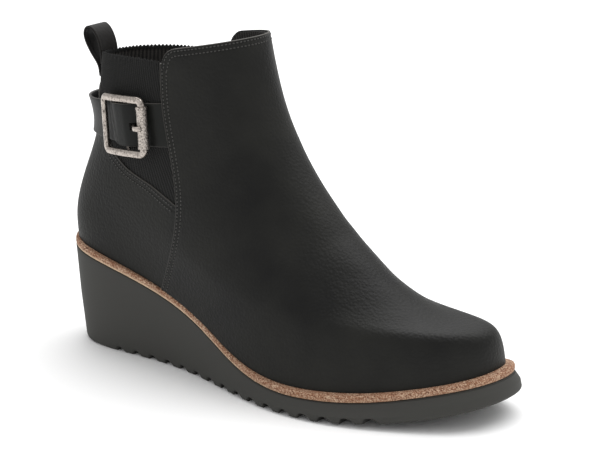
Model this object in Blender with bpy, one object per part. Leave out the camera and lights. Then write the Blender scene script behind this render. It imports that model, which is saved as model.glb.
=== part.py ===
"""Wedge ankle boot for the right foot, standing empty on its sole.

Metres. +X runs to the toe, +Y to the medial side, +Z up, and the floor is z = 0.
The upper comes from one last function, skin(level, turn, depth). Its level runs from 0 at the
feather line, where the upper meets the sole, to 1 at the collar. Its turn is an angle round the
foot: 0 at the middle of the heel, half a circle at the toe, on the lateral side first.
"""

from typing import NamedTuple

import bmesh
import bpy
import numpy as np

MM = 0.001
HALF_TURN = np.pi
FULL_TURN = 2.0 * np.pi

# Sole
SOLE_LENGTH = 262.0 * MM
BALL_WIDTH = 92.0 * MM
HEEL_SEAT = 59.0 * MM
PLATFORM = 13.5 * MM
TOE_LIFT = 13.5 * MM
TOE_SPRING = 12.0 * MM
SPRING_START = 0.64
SPRING_POWER = 2.2
WELT_THICKNESS = 3.5 * MM
SOLE_EDGE_INSET = 1.6 * MM
SOLE_EDGE_HEIGHT = 3.6 * MM
WAIST_HEIGHT = 0.45  # share of the sole's side, from the edge to the seat
WAIST_HOLLOW = 0.55  # share of the way from the seat's outline to the foot's

# Lugs across the tread
LUG_COUNT = 16
LUG_FIRST = 42.0 * MM
LUG_PITCH = 11.45 * MM
GROOVE_WIDTH_HEEL = 4.6 * MM
GROOVE_WIDTH_TOE = 6.2 * MM
GROOVE_DEPTH_HEEL = 2.2 * MM
GROOVE_DEPTH_TOE = 3.0 * MM
GROOVE_STOPS = (-0.5, -0.38, -0.15, 0.15, 0.38, 0.5)  # shares of the groove's width

# Upper
COLLAR_BACK = 159.0 * MM
COLLAR_FRONT = 178.0 * MM
WALL = 2.7 * MM
QUARTER_DEPTH = 0.7 * MM
GORE_DEPTH = 1.5 * MM
EDGE_STEP = 0.3 * MM
VAMP_EDGE_LOW = np.radians(64.0)
VAMP_EDGE_HIGH = np.radians(99.0)
CORNER_TURN = np.radians(8.0)
CORNER_DROP_LATERAL = 0.030
CORNER_DROP_MEDIAL = 0.055
GORE_POWER_LATERAL = 3.0
GORE_POWER_MEDIAL = 1.3
SAG_REACH = 0.5
SAG_POWER = 1.5
SWING_REACH = 0.6

# Insole
INSOLE_THICKNESS = 3.5 * MM
INSOLE_INSET = 1.4 * MM

# Strap
STRAP_WIDTH = 22.0 * MM
STRAP_BACK_WIDTH = 19.0 * MM
STRAP_THICKNESS = 1.5 * MM
STRAP_BACK_LEVEL = 0.668
STRAP_RISE = 6.3 * MM
STRAP_FLARE = 4.5 * MM
FLARE_TURN = np.radians(42.0)
QUARTER_CROSSING = np.radians((36.0, 44.0))

# Buckle
BUCKLE_TURN = np.radians(66.5)
BUCKLE_ACROSS = -0.04
BUCKLE_LENGTH = 35.0 * MM
BUCKLE_HEIGHT = 32.0 * MM
BUCKLE_CORNER = 4.7 * MM
BUCKLE_STANDOFF = 4.1 * MM
BUCKLE_TILT = np.radians(5.0)  # its top edge in, towards the leg
BUCKLE_BEND = 90.0 * MM
BAR_WIDTH = 3.8 * MM
BAR_THICKNESS = 3.0 * MM
AXLE_RADIUS = 1.3 * MM
CENTRE_BAR_RADIUS = 1.0 * MM
CENTRE_BAR_DROP = 3.4 * MM
ROLLER_RADIUS = 3.0 * MM
ROLLER_LENGTH = 22.0 * MM
PRONG_WIDTH = 3.0 * MM
PRONG_THICKNESS = 1.2 * MM
SLOT_START = 2.6 * MM
SLOT_END = 11.4 * MM
SLOT_DEPTH = 3.0 * MM
SLOT_HEIGHT = 9.0 * MM

# Pull loop
LOOP_WIDTH = 14.0 * MM
LOOP_THICKNESS = 1.4 * MM
LOOP_HEIGHT = 12.0 * MM
LOOP_LEAN = 12.4 * MM
LOOP_TAIL = 13.5 * MM

# Clearance between neighbouring pieces
GAP = 0.3 * MM


class Feather(NamedTuple):
    """One point of the feather line: its place, and its height in three parts."""

    along: float  # share of SOLE_LENGTH
    heel: float  # share of the heel seat's rise over the platform
    toe: float  # share of TOE_LIFT


FEATHER_LINE = (
    Feather(0.00, 1.000, 0.00),
    Feather(0.12, 0.880, 0.00),
    Feather(0.25, 0.680, 0.00),
    Feather(0.38, 0.420, 0.00),
    Feather(0.50, 0.125, 0.00),
    Feather(0.60, 0.010, 0.00),
    Feather(0.70, 0.000, 0.03),
    Feather(0.80, 0.000, 0.20),
    Feather(0.90, 0.000, 0.56),
    Feather(1.00, 0.000, 1.00),
)


class Swing(NamedTuple):
    """How far the foot's middle line swings to the medial side."""

    along: float  # share of SOLE_LENGTH
    across: float  # share of BALL_WIDTH


FOOT_SWING = (
    Swing(0.00, 0.000),
    Swing(0.30, -0.005),
    Swing(0.62, -0.040),
    Swing(0.80, -0.006),
    Swing(1.00, 0.074),
)


class Outline(NamedTuple):
    """A closed outline seen from above. Its widths are shares of BALL_WIDTH.

    They stand at the six turns 0, 36, 72, 108, 144 and 180 degrees, and a true ellipse has
    all six alike.
    """

    back: float  # share of SOLE_LENGTH
    front: float  # share of SOLE_LENGTH
    lateral: tuple
    medial: tuple


SOLE_TOP = Outline(
    back=0.004, front=1.000,
    lateral=(0.650, 0.505, 0.332, 0.505, 0.552, 0.661),
    medial=(0.650, 0.500, 0.315, 0.515, 0.535, 0.661),
)
SOLE_FOOT = Outline(
    back=0.018, front=1.012,
    lateral=(0.572, 0.437, 0.335, 0.545, 0.610, 0.745),
    medial=(0.572, 0.430, 0.318, 0.550, 0.585, 0.745),
)


class Ring(NamedTuple):
    """One ring of the last, from the middle of its back to the middle of its front."""

    level: float  # also its height at the back, as a share of the collar's rise there
    back_x: float  # share of SOLE_LENGTH
    front_x: float  # share of SOLE_LENGTH
    front_rise: float  # share of the collar's rise at the front
    widths: tuple  # shares of BALL_WIDTH at the six turns


LAST = (
    Ring(0.00, 0.005, 0.983, 0.000, (0.610, 0.473, 0.328, 0.462, 0.508, 0.626)),
    Ring(0.13, 0.002, 0.966, 0.122, (0.612, 0.462, 0.362, 0.433, 0.446, 0.500)),
    Ring(0.26, 0.010, 0.897, 0.138, (0.548, 0.438, 0.373, 0.422, 0.386, 0.392)),
    Ring(0.42, 0.031, 0.787, 0.198, (0.460, 0.405, 0.361, 0.389, 0.358, 0.338)),
    Ring(0.58, 0.052, 0.673, 0.345, (0.396, 0.361, 0.347, 0.345, 0.330, 0.324)),
    Ring(0.74, 0.060, 0.572, 0.532, (0.362, 0.345, 0.343, 0.330, 0.324, 0.310)),
    Ring(0.88, 0.066, 0.497, 0.760, (0.364, 0.347, 0.346, 0.333, 0.333, 0.316)),
    Ring(1.00, 0.075, 0.458, 1.000, (0.376, 0.347, 0.346, 0.333, 0.341, 0.323)),
)


class Edge(NamedTuple):
    """One point of the top edge of the quarter and its back tab."""

    turn: float  # share of the turn at which the vamp covers the quarter
    level: float


QUARTER_ROW = 0.49
QUARTER_EDGE = (
    Edge(0.00, 0.845),
    Edge(0.17, 0.835),
    Edge(0.30, 0.770),
    Edge(0.42, 0.670),
    Edge(0.54, 0.572),
    Edge(0.68, 0.535),
    Edge(0.84, 0.528),
    Edge(1.00, QUARTER_ROW),
)


class Ride(NamedTuple):
    """How high the strap's inner face rides over the upper's skin, in metres."""

    along: float  # along the strap from the middle of the buckle
    lift: float


STRAP_RIDE = (
    Ride(-12.5 * MM, -0.3 * MM),
    Ride(-9.5 * MM, 0.9 * MM),
    Ride(-6.5 * MM, 2.6 * MM),
    Ride(-3.5 * MM, 3.4 * MM),
    Ride(3.0 * MM, 3.4 * MM),
    Ride(6.0 * MM, 2.2 * MM),
    Ride(9.0 * MM, 0.3 * MM),
    Ride(11.5 * MM, -1.2 * MM),
)


class PathPoint(NamedTuple):
    """A point of the prong's middle line, in the buckle's own frame."""

    along: float
    out: float


PRONG_PATH = (
    PathPoint(-2.2 * MM, 1.0 * MM),
    PathPoint(-1.4 * MM, 2.0 * MM),
    PathPoint(0.0 * MM, 2.55 * MM),
    PathPoint(3.0 * MM, 1.8 * MM),
    PathPoint(6.0 * MM, 1.8 * MM),
    PathPoint(8.6 * MM, 3.4 * MM),
    PathPoint(10.6 * MM, 5.3 * MM),
    PathPoint(12.6 * MM, 7.1 * MM),
    PathPoint(14.8 * MM, 8.1 * MM),
)


class LoopPoint(NamedTuple):
    """A point of the pull loop's middle line, and how far it hugs the round of the collar."""

    lean: float  # share of LOOP_LEAN, out from the leg outside the collar
    rise: float  # share of LOOP_HEIGHT, over the collar
    hug: float  # 0 is straight across, 1 is as round as the collar


LOOP_BEND = (
    LoopPoint(0.30, -0.60, 0.7),
    LoopPoint(0.57, -0.20, 0.4),
    LoopPoint(0.77, 0.12, 0.2),
    LoopPoint(0.91, 0.42, 0.1),
    LoopPoint(0.95, 0.74, 0.0),
    LoopPoint(0.82, 0.97, 0.0),
    LoopPoint(0.60, 0.98, 0.0),
    LoopPoint(0.40, 0.80, 0.1),
    LoopPoint(0.26, 0.54, 0.3),
    LoopPoint(0.18, 0.24, 0.6),
    LoopPoint(0.15, -0.06, 0.9),
    LoopPoint(0.15, -0.34, 1.0),
    LoopPoint(0.15, -0.58, 1.0),
)


def spline(knots, values, where):
    """Return a natural cubic spline through the values, read at each place."""
    knots = np.asarray(knots, float)
    values = np.asarray(values, float)
    where = np.asarray(where, float)
    count = len(knots)
    step = np.diff(knots)
    matrix = np.zeros((count, count))
    slope = np.zeros_like(values)
    matrix[0, 0] = 1.0
    matrix[-1, -1] = 1.0
    for i in range(1, count - 1):
        matrix[i, i - 1] = step[i - 1]
        matrix[i, i] = 2.0 * (step[i - 1] + step[i])
        matrix[i, i + 1] = step[i]
        rise_after = (values[i + 1] - values[i]) / step[i]
        rise_before = (values[i] - values[i - 1]) / step[i - 1]
        slope[i] = 6.0 * (rise_after - rise_before)
    bend = np.linalg.solve(matrix, slope)
    cell = np.clip(np.searchsorted(knots, where) - 1, 0, count - 2)
    shape = cell.shape + (1,) * (values.ndim - 1)
    over = (where - knots[cell]).reshape(shape)
    width = step[cell].reshape(shape)
    first = (values[cell + 1] - values[cell]) / width
    first = first - width * (2.0 * bend[cell] + bend[cell + 1]) / 6.0
    third = (bend[cell + 1] - bend[cell]) / (6.0 * width)
    return values[cell] + over * first + over**2 * bend[cell] / 2.0 + over**3 * third


def round_widths(stations, turn):
    """Blend the six station widths round the half circle with a cosine series."""
    stations = np.asarray(stations, float)
    last = stations.shape[-1] - 1
    order = np.arange(last + 1)
    weights = np.ones(last + 1)
    weights[[0, last]] = 0.5
    series = (2.0 / last) * ((stations * weights) @ np.cos(np.outer(order, order) * np.pi / last))
    series[..., [0, last]] *= 0.5
    return (series * np.cos(np.asarray(turn)[..., None] * order)).sum(-1)


def fold_turn(turn):
    """Return the turn measured on its own side, and -1 for lateral or +1 for medial."""
    turn = np.asarray(turn, float)
    return np.where(turn <= HALF_TURN, turn, FULL_TURN - turn), np.where(turn <= HALF_TURN, -1.0, 1.0)


def feather_height(x):
    """Height of the feather line, where the upper meets the sole, at x from the heel."""
    heights = [PLATFORM + (HEEL_SEAT - PLATFORM) * row.heel + TOE_LIFT * row.toe for row in FEATHER_LINE]
    return spline([row.along for row in FEATHER_LINE], heights, np.asarray(x) / SOLE_LENGTH)


def spring_height(x):
    """Height of the tread over the floor, which lifts towards the toe."""
    share = np.clip((np.asarray(x) / SOLE_LENGTH - SPRING_START) / (1.0 - SPRING_START), 0.0, None)
    return TOE_SPRING * share**SPRING_POWER


def foot_middle(x):
    """Sideways place of the foot's middle line at x from the heel."""
    across = [row.across * BALL_WIDTH for row in FOOT_SWING]
    return spline([row.along for row in FOOT_SWING], across, np.asarray(x) / SOLE_LENGTH)


def outline_points(outline, turn):
    """Points of an outline seen from above, one for each turn."""
    half, side = fold_turn(turn)
    lateral = round_widths(outline.lateral, half)
    medial = round_widths(outline.medial, half)
    width = np.where(side < 0.0, lateral, medial) * BALL_WIDTH
    x = SOLE_LENGTH * (outline.back + (outline.front - outline.back) * (1.0 - np.cos(half)) / 2.0)
    return np.stack([x, side * width * np.sin(half) + foot_middle(x)], -1)


def last_point(level, turn):
    """A point of the last's outer shape."""
    level, turn = np.broadcast_arrays(np.asarray(level, float), np.asarray(turn, float))
    rows = [(row.back_x, row.front_x, row.front_rise) + row.widths for row in LAST]
    row = spline([entry.level for entry in LAST], rows, level)
    half, side = fold_turn(turn)
    share = (1.0 - np.cos(half)) / 2.0
    x = SOLE_LENGTH * (row[..., 0] + (row[..., 1] - row[..., 0]) * share)
    toe_foot = feather_height(SOLE_LENGTH * LAST[0].front_x)
    back_z = HEEL_SEAT + (COLLAR_BACK - HEEL_SEAT) * level
    front_z = toe_foot + (COLLAR_FRONT - toe_foot) * row[..., 2]
    foot_x = SOLE_LENGTH * (LAST[0].back_x + (LAST[0].front_x - LAST[0].back_x) * share)
    sag = feather_height(foot_x) - (HEEL_SEAT + (toe_foot - HEEL_SEAT) * share)
    fade = np.clip(1.0 - level / SAG_REACH, 0.0, 1.0) ** SAG_POWER
    z = back_z + (front_z - back_z) * share + sag * fade
    width = round_widths(row[..., 3:], half) * BALL_WIDTH
    middle = foot_middle(x) * np.clip(1.0 - level / SWING_REACH, 0.0, 1.0)
    return np.stack([x, side * width * np.sin(half) + middle, z], -1)


def skin(level, turn, depth=0.0):
    """A point under the last's outer shape by the depth, or over it where that is negative."""
    probe = 1e-3
    level, turn = np.broadcast_arrays(np.asarray(level, float), np.asarray(turn, float))
    low = np.clip(level - probe, 0.0, None)
    up = last_point(level + probe, turn) - last_point(low, turn)
    round_the_foot = last_point(level, (turn + probe) % FULL_TURN)
    round_the_foot = round_the_foot - last_point(level, (turn - probe) % FULL_TURN)
    normal = np.cross(round_the_foot, up)
    normal /= np.linalg.norm(normal, axis=-1, keepdims=True)
    return last_point(level, turn) - normal * np.asarray(depth, float)[..., None]


def level_at(height, turn):
    """The level at which the last has this height at this turn."""
    levels = np.linspace(0.0, 1.05, 106)
    heights = last_point(levels, np.full_like(levels, turn))[:, 2]
    return float(np.interp(height, heights, levels))


def vamp_edge(level):
    """The turn of the vamp's rear edge, on either side."""
    return VAMP_EDGE_LOW + (VAMP_EDGE_HIGH - VAMP_EDGE_LOW) * level


def collar_level(half, side):
    """The level of the collar: a dip along the gore, then the vamp's round corner."""
    lateral = side < 0.0
    drop = np.where(lateral, CORNER_DROP_LATERAL, CORNER_DROP_MEDIAL)
    power = np.where(lateral, GORE_POWER_LATERAL, GORE_POWER_MEDIAL)
    gore = 1.0 - drop * np.minimum(half / VAMP_EDGE_HIGH, 1.0) ** power
    rest = np.clip(1.0 - (half - VAMP_EDGE_HIGH) / CORNER_TURN, 0.0, 1.0)
    vamp = 1.0 - drop * (1.0 - np.sqrt(1.0 - rest**2))
    return np.where(half < VAMP_EDGE_HIGH, gore, vamp)


def quarter_shift(row, half, edge):
    """How far a row of the mesh leaves its own level to follow the quarter's top edge."""
    turns = [point.turn for point in QUARTER_EDGE]
    levels = [point.level for point in QUARTER_EDGE]
    target = np.interp(half / edge, turns, levels) - QUARTER_ROW
    below = row / QUARTER_ROW
    above = (1.0 - row) / (1.0 - QUARTER_ROW)
    return np.where(half < edge, target * np.minimum(below, above), 0.0)


def material(name, colour, roughness, metallic=0.0):
    """A Principled BSDF material of one colour."""
    finish = bpy.data.materials.new(name)
    finish.use_nodes = True
    shader = finish.node_tree.nodes["Principled BSDF"]
    shader.inputs["Base Color"].default_value = (*colour, 1.0)
    shader.inputs["Roughness"].default_value = roughness
    shader.inputs["Metallic"].default_value = metallic
    finish.diffuse_color = (*colour, 1.0)
    return finish


def add_solid(name, points, faces, finish):
    """Add one closed solid with its faces pointing out, shaded smooth up to 35 degrees."""
    mesh = bpy.data.meshes.new(name)
    mesh.from_pydata([tuple(point) for point in points], [], faces)
    work = bmesh.new()
    work.from_mesh(mesh)
    bmesh.ops.recalc_face_normals(work, faces=work.faces)
    work.to_mesh(mesh)
    work.free()
    mesh.shade_smooth()
    mesh.set_sharp_from_angle(angle=np.radians(35.0))
    mesh.materials.append(finish)
    solid = bpy.data.objects.new(name, mesh)
    bpy.context.scene.collection.objects.link(solid)
    return solid


def grid_faces(rows, columns, closed, start=0):
    """Quads of a grid whose points are listed row by row."""
    faces = []
    for row in range(rows - 1):
        for column in range(columns if closed else columns - 1):
            after = (column + 1) % columns
            low = start + row * columns
            high = low + columns
            faces.append((low + column, low + after, high + after, high + column))
    return faces


def cap_faces(columns, start):
    """Strips across a ring whose points come in pairs, one on each side of the foot."""
    half = columns // 2
    faces = [(start, start + 1, start + columns - 1)]
    for i in range(1, half - 1):
        faces.append((start + i, start + i + 1, start + columns - i - 1, start + columns - i))
    faces.append((start + half - 1, start + half, start + half + 1))
    return faces


def stack_of_rings(name, rings, finish):
    """A solid from rings of paired points, with both of its ends closed."""
    columns = len(rings[0])
    points = np.concatenate(rings)
    faces = grid_faces(len(rings), columns, closed=True)
    faces += cap_faces(columns, 0)
    faces += cap_faces(columns, (len(rings) - 1) * columns)
    return add_solid(name, points, faces, finish)


def both_sides(half_turns):
    """The turns of a whole ring from those of its lateral half, ends counted once."""
    return np.concatenate([half_turns, FULL_TURN - half_turns[-2:0:-1]])


def groove_at(x):
    """Depth of the lug groove at x from the heel."""
    depth = np.zeros_like(x)
    for number in range(LUG_COUNT):
        share = number / (LUG_COUNT - 1)
        middle = LUG_FIRST + LUG_PITCH * number
        width = GROOVE_WIDTH_HEEL + (GROOVE_WIDTH_TOE - GROOVE_WIDTH_HEEL) * share
        deep = GROOVE_DEPTH_HEEL + (GROOVE_DEPTH_TOE - GROOVE_DEPTH_HEEL) * share
        inside = np.clip(1.0 - (2.0 * (x - middle) / width) ** 2, 0.0, None)
        depth = np.maximum(depth, deep * np.sqrt(inside))
    return depth


def tread_stations():
    """Turns along the sole: even ones, and the stops of each lug groove."""
    length = SOLE_LENGTH * (SOLE_FOOT.front - SOLE_FOOT.back)
    heel_end = SOLE_LENGTH * SOLE_FOOT.back
    places = []
    for number in range(LUG_COUNT):
        share = number / (LUG_COUNT - 1)
        width = GROOVE_WIDTH_HEEL + (GROOVE_WIDTH_TOE - GROOVE_WIDTH_HEEL) * share
        middle = LUG_FIRST + LUG_PITCH * number
        places += [middle + width * stop for stop in GROOVE_STOPS]
    lugs = np.arccos(1.0 - 2.0 * (np.array(places) - heel_end) / length)
    even = np.linspace(0.0, HALF_TURN, 41)
    outside = [turn for turn in even if turn < lugs[0] - 0.04 or turn > lugs[-1] + 0.04]
    return np.sort(np.concatenate([outside, lugs]))


def inset_outline(points, distance):
    """Move each point of a closed outline inwards."""
    along = np.roll(points, -1, axis=0) - np.roll(points, 1, axis=0)
    along /= np.linalg.norm(along, axis=1, keepdims=True)
    inward = np.stack([-along[:, 1], along[:, 0]], -1)
    return points + inward * distance


def build_sole(finish):
    """Wedge and outsole, moulded in one, with grooves across the tread."""
    turns = both_sides(tread_stations())
    top = outline_points(SOLE_TOP, turns)
    foot = outline_points(SOLE_FOOT, turns)
    seat = feather_height(top[:, 0]) - WELT_THICKNESS - 2.0 * GAP
    spring = spring_height(foot[:, 0])
    tread = spring + groove_at(foot[:, 0])
    shoulder = np.maximum(spring + SOLE_EDGE_HEIGHT * 0.33, tread + SOLE_EDGE_HEIGHT * 0.07)
    edge = spring + SOLE_EDGE_HEIGHT
    waist = top + (foot - top) * WAIST_HOLLOW
    rings = [
        np.column_stack([inset_outline(foot, SOLE_EDGE_INSET), tread]),
        np.column_stack([inset_outline(foot, SOLE_EDGE_INSET * 0.3), shoulder]),
        np.column_stack([foot, edge]),
        np.column_stack([waist, edge + (seat - edge) * WAIST_HEIGHT]),
        np.column_stack([top, seat]),
    ]
    return stack_of_rings("sole_unit", rings, finish)


def build_welt(finish):
    """The tan board between the upper and the sole, with its edge left bare."""
    turns = both_sides(np.linspace(0.0, HALF_TURN, 49))
    outline = outline_points(SOLE_TOP, turns)
    top = feather_height(outline[:, 0]) - GAP
    rings = [
        np.column_stack([outline, top - WELT_THICKNESS]),
        np.column_stack([outline, top]),
    ]
    return stack_of_rings("welt_board", rings, finish)


def upper_turns(row, shares_behind, shares_ahead):
    """Turns of one row of the upper, with a narrow pair of columns at each vamp edge."""
    edge = vamp_edge(row)
    step = EDGE_STEP / (BALL_WIDTH * LAST[-1].widths[2])
    behind = shares_behind * (edge - step)
    ahead = edge + (HALF_TURN - edge) * shares_ahead
    return both_sides(np.concatenate([behind, ahead]))


def build_upper(finish):
    """Vamp, quarter and gore as one hollow wall, with their edges as steps in it."""
    below = np.array([0.0, 0.03, 0.07, 0.11, 0.15, 0.19, 0.235, 0.28, 0.335, 0.385, 0.44, QUARTER_ROW])
    above = np.array([0.494, 0.535, 0.585, 0.63, 0.68, 0.73, 0.78, 0.83, 0.88, 0.92, 0.955, 0.98, 1.0])
    rows = np.concatenate([below, above])
    shares_behind = np.linspace(0.0, 1.0, 13)
    shares_ahead = np.concatenate([[0.0, 0.012, 0.045], np.linspace(0.1, 1.0, 12)])
    count = len(shares_behind)
    outer = []
    inner = []
    for index, row in enumerate(rows):
        turns = upper_turns(row, shares_behind, shares_ahead)
        half, side = fold_turn(turns)
        order = np.arange(len(turns))
        column = np.minimum(order, len(turns) - order)
        behind = column < count
        level = row + quarter_shift(row, half, vamp_edge(row))
        level = level * (1.0 - (1.0 - collar_level(half, side)) * row**6)
        panel = QUARTER_DEPTH if index < len(below) else GORE_DEPTH
        outer.append(skin(level, turns, np.where(behind, panel, 0.0)))
        inner.append(skin(level, turns, np.full(len(turns), WALL)))
    for ring in (outer[0], inner[0]):
        ring[:, 2] = feather_height(ring[:, 0])
    columns = len(outer[0])
    points = np.concatenate(outer + inner)
    inside = len(rows) * columns
    faces = grid_faces(len(rows), columns, closed=True)
    faces += grid_faces(len(rows), columns, closed=True, start=inside)
    for start in (0, (len(rows) - 1) * columns):
        for i in range(columns):
            after = (i + 1) % columns
            faces.append((start + i, start + after, inside + start + after, inside + start + i))
    return add_solid("upper", points, faces, finish)


def build_insole(finish):
    """The footbed, lying inside the upper's wall."""
    turns = both_sides(np.linspace(0.0, HALF_TURN, 41))
    wall = skin(np.zeros_like(turns), turns, np.full(len(turns), WALL))
    outline = inset_outline(wall[:, :2], INSOLE_INSET)
    base = feather_height(outline[:, 0])
    rings = [
        np.column_stack([outline, base]),
        np.column_stack([outline, base + INSOLE_THICKNESS]),
    ]
    return stack_of_rings("insole", rings, finish)


def strap_height(half, across):
    """Height of a line along the strap: across runs from -0.5 to 0.5 over its width."""
    share = (1.0 - np.cos(half)) / (1.0 - np.cos(VAMP_EDGE_HIGH))
    width = STRAP_BACK_WIDTH + (STRAP_WIDTH - STRAP_BACK_WIDTH) * min(1.0, share * 2.0)
    back = HEEL_SEAT + (COLLAR_BACK - HEEL_SEAT) * STRAP_BACK_LEVEL
    return back + STRAP_RISE * share + across * width


def strap_end(across):
    """The turn at which the strap stops, just short of the vamp's edge at that height."""
    edge = vamp_edge(level_at(strap_height(VAMP_EDGE_HIGH, across), VAMP_EDGE_HIGH))
    return edge - (EDGE_STEP + 2.0 * GAP) / (BALL_WIDTH * LAST[-1].widths[2])


def strap_point(share, across, out, frame):
    """A point of the strap.

    The share runs from 0 at the heel to -1 or 1 at the lateral or medial vamp edge, across is a
    share of the strap's width, and out is measured from its inner face.
    """
    half = abs(share) * strap_end(across)
    turn = half if share < 0.0 else (FULL_TURN - half) % FULL_TURN
    level = level_at(strap_height(half, across), turn)
    if share < 0.0:
        along = (skin(level, turn) - frame.origin) @ frame.along
        lift = np.interp(along, [ride.along for ride in STRAP_RIDE], [ride.lift for ride in STRAP_RIDE])
    else:
        lift = np.interp(half, QUARTER_CROSSING, (STRAP_RIDE[0].lift, STRAP_RIDE[-1].lift))
    flare = STRAP_FLARE * (across + 0.5) ** 2 * np.clip(1.0 - (half / FLARE_TURN) ** 2, 0.0, None)
    return skin(level, turn, -(lift + flare + out))


def build_strap(finish, slot, frame):
    """The strap, from vamp edge to vamp edge round the back, through the buckle."""
    places = np.concatenate([np.linspace(-1.0, 0.0, 41), np.linspace(0.0, 1.0, 19)[1:]])
    shares = np.linspace(-0.5, 0.5, 5)
    loop = [(share, 0.0) for share in shares] + [(share, STRAP_THICKNESS) for share in shares[::-1]]
    points = [strap_point(place, share, out, frame) for place in places for share, out in loop]
    columns = len(loop)
    faces = grid_faces(len(places), columns, closed=True)
    for start in (0, (len(places) - 1) * columns):
        for i in range(len(shares) - 1):
            faces.append((start + i, start + i + 1, start + columns - i - 2, start + columns - i - 1))
    strap = add_solid("strap", points, faces, finish)
    cut = strap.modifiers.new("prong_hole", "BOOLEAN")
    cut.operation = "DIFFERENCE"
    cut.solver = "EXACT"
    cut.object = slot
    return strap


class BuckleFrame:
    """The buckle's own frame: along the strap, up across it, and out from the boot."""

    def __init__(self):
        """Work out the frame from the skin under the strap's middle line."""
        probe = np.radians(1.0)
        self.origin = self.under(BUCKLE_TURN)
        along = self.under(BUCKLE_TURN + probe) - self.under(BUCKLE_TURN - probe)
        self.along = along / np.linalg.norm(along)
        level = level_at(strap_height(BUCKLE_TURN, BUCKLE_ACROSS), BUCKLE_TURN)
        out = skin(level, BUCKLE_TURN, -1.0) - skin(level, BUCKLE_TURN, 0.0)
        out -= self.along * (out @ self.along)
        self.out = out / np.linalg.norm(out)
        self.up = np.cross(self.out, self.along)
        if self.up[2] < 0.0:
            self.up = -self.up
        tilted = self.out * np.cos(BUCKLE_TILT) + self.up * np.sin(BUCKLE_TILT)
        self.up = self.up * np.cos(BUCKLE_TILT) - self.out * np.sin(BUCKLE_TILT)
        self.out = tilted

    def under(self, turn):
        """The skin's point under the strap's middle line."""
        return skin(level_at(strap_height(turn, BUCKLE_ACROSS), turn), turn)

    def place(self, along, up, out):
        """A point of the bent frame in the boot's axes."""
        bent = out - along**2 / (2.0 * BUCKLE_BEND)
        return self.origin + self.along * along + self.up * up + self.out * bent


def sweep(name, sections, finish, closed):
    """A solid swept through section rings, which close on themselves or end in flat caps."""
    columns = len(sections[0])
    points = np.concatenate(sections)
    rows = len(sections)
    faces = grid_faces(rows, columns, closed=True)
    if closed:
        last = (rows - 1) * columns
        for i in range(columns):
            after = (i + 1) % columns
            faces.append((last + i, last + after, after, i))
    else:
        faces.append(tuple(range(columns)))
        faces.append(tuple(range((rows - 1) * columns, rows * columns)))
    return add_solid(name, points, faces, finish)


def round_section(frame, middle, side, radius_in, radius_out, count=8):
    """A ring of points round a middle, spread along the side direction and the out direction."""
    ring = []
    for angle in np.linspace(0.0, FULL_TURN, count, endpoint=False):
        across = radius_in * np.cos(angle)
        out = middle[2] + radius_out * np.sin(angle)
        ring.append(frame.place(middle[0] + side[0] * across, middle[1] + side[1] * across, out))
    return np.array(ring)


def buckle_stops():
    """Middles and outward sides round the buckle, each with its section's two radii."""
    half_length = BUCKLE_LENGTH / 2.0 - BAR_WIDTH / 2.0
    half_height = BUCKLE_HEIGHT / 2.0 - BAR_WIDTH / 2.0
    corner = BUCKLE_CORNER - BAR_WIDTH / 2.0
    wide = (BAR_WIDTH / 2.0, BAR_THICKNESS / 2.0)
    thin = (AXLE_RADIUS, AXLE_RADIUS)
    stops = []
    for quarter in range(4):
        start = quarter * HALF_TURN / 2.0
        centre_x = (half_length - corner) * (1.0 if quarter in (0, 3) else -1.0)
        centre_y = (half_height - corner) * (1.0 if quarter in (0, 1) else -1.0)
        for angle in np.linspace(start, start + HALF_TURN / 2.0, 4):
            side = (np.cos(angle), np.sin(angle))
            stops.append((centre_x + corner * side[0], centre_y + corner * side[1], side, wide))
    reach = ROLLER_LENGTH / 2.0 + GAP
    for height in (-reach, reach):
        stops.append((half_length, height, (1.0, 0.0), thin))
    return stops


def build_buckle(finish, frame, centre_bar):
    """The rectangular buckle: three wide bars, a thin axle for the roller, and a centre bar."""
    sections = []
    for x, y, side, (wide, thick) in buckle_stops():
        sections.append(round_section(frame, (x, y, BUCKLE_STANDOFF), side, wide, thick))
    ring = sweep("buckle_frame", sections, finish, closed=True)
    join = ring.modifiers.new("centre_bar", "BOOLEAN")
    join.operation = "UNION"
    join.solver = "EXACT"
    join.object = centre_bar
    return ring


def build_centre_bar(frame):
    """A guide for the bar under the strap, which the buckle is joined with."""
    reach = BUCKLE_HEIGHT / 2.0 - BAR_WIDTH * 0.6
    low = BUCKLE_STANDOFF - CENTRE_BAR_DROP
    ends = [(-reach, BUCKLE_STANDOFF, 0.0), (reach, BUCKLE_STANDOFF, 0.0)]
    path = (ends[0], (-reach, low, 1.0), (reach, low, 1.0), ends[1])
    sections = []
    for height, out, mitre in path:
        inward = 1.0 if height < 0.0 else -1.0
        ring = []
        for angle in np.linspace(0.0, FULL_TURN, 8, endpoint=False):
            across = CENTRE_BAR_RADIUS * np.cos(angle)
            through = CENTRE_BAR_RADIUS * np.sin(angle)
            ring.append(frame.place(across, height + through * inward, out + through * mitre))
        sections.append(np.array(ring))
    bar = sweep("centre_bar_guide", sections, material("guide", (1.0, 0.0, 0.0), 0.5), closed=False)
    bar.hide_render = True
    bar.display_type = "WIRE"
    return bar


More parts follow.
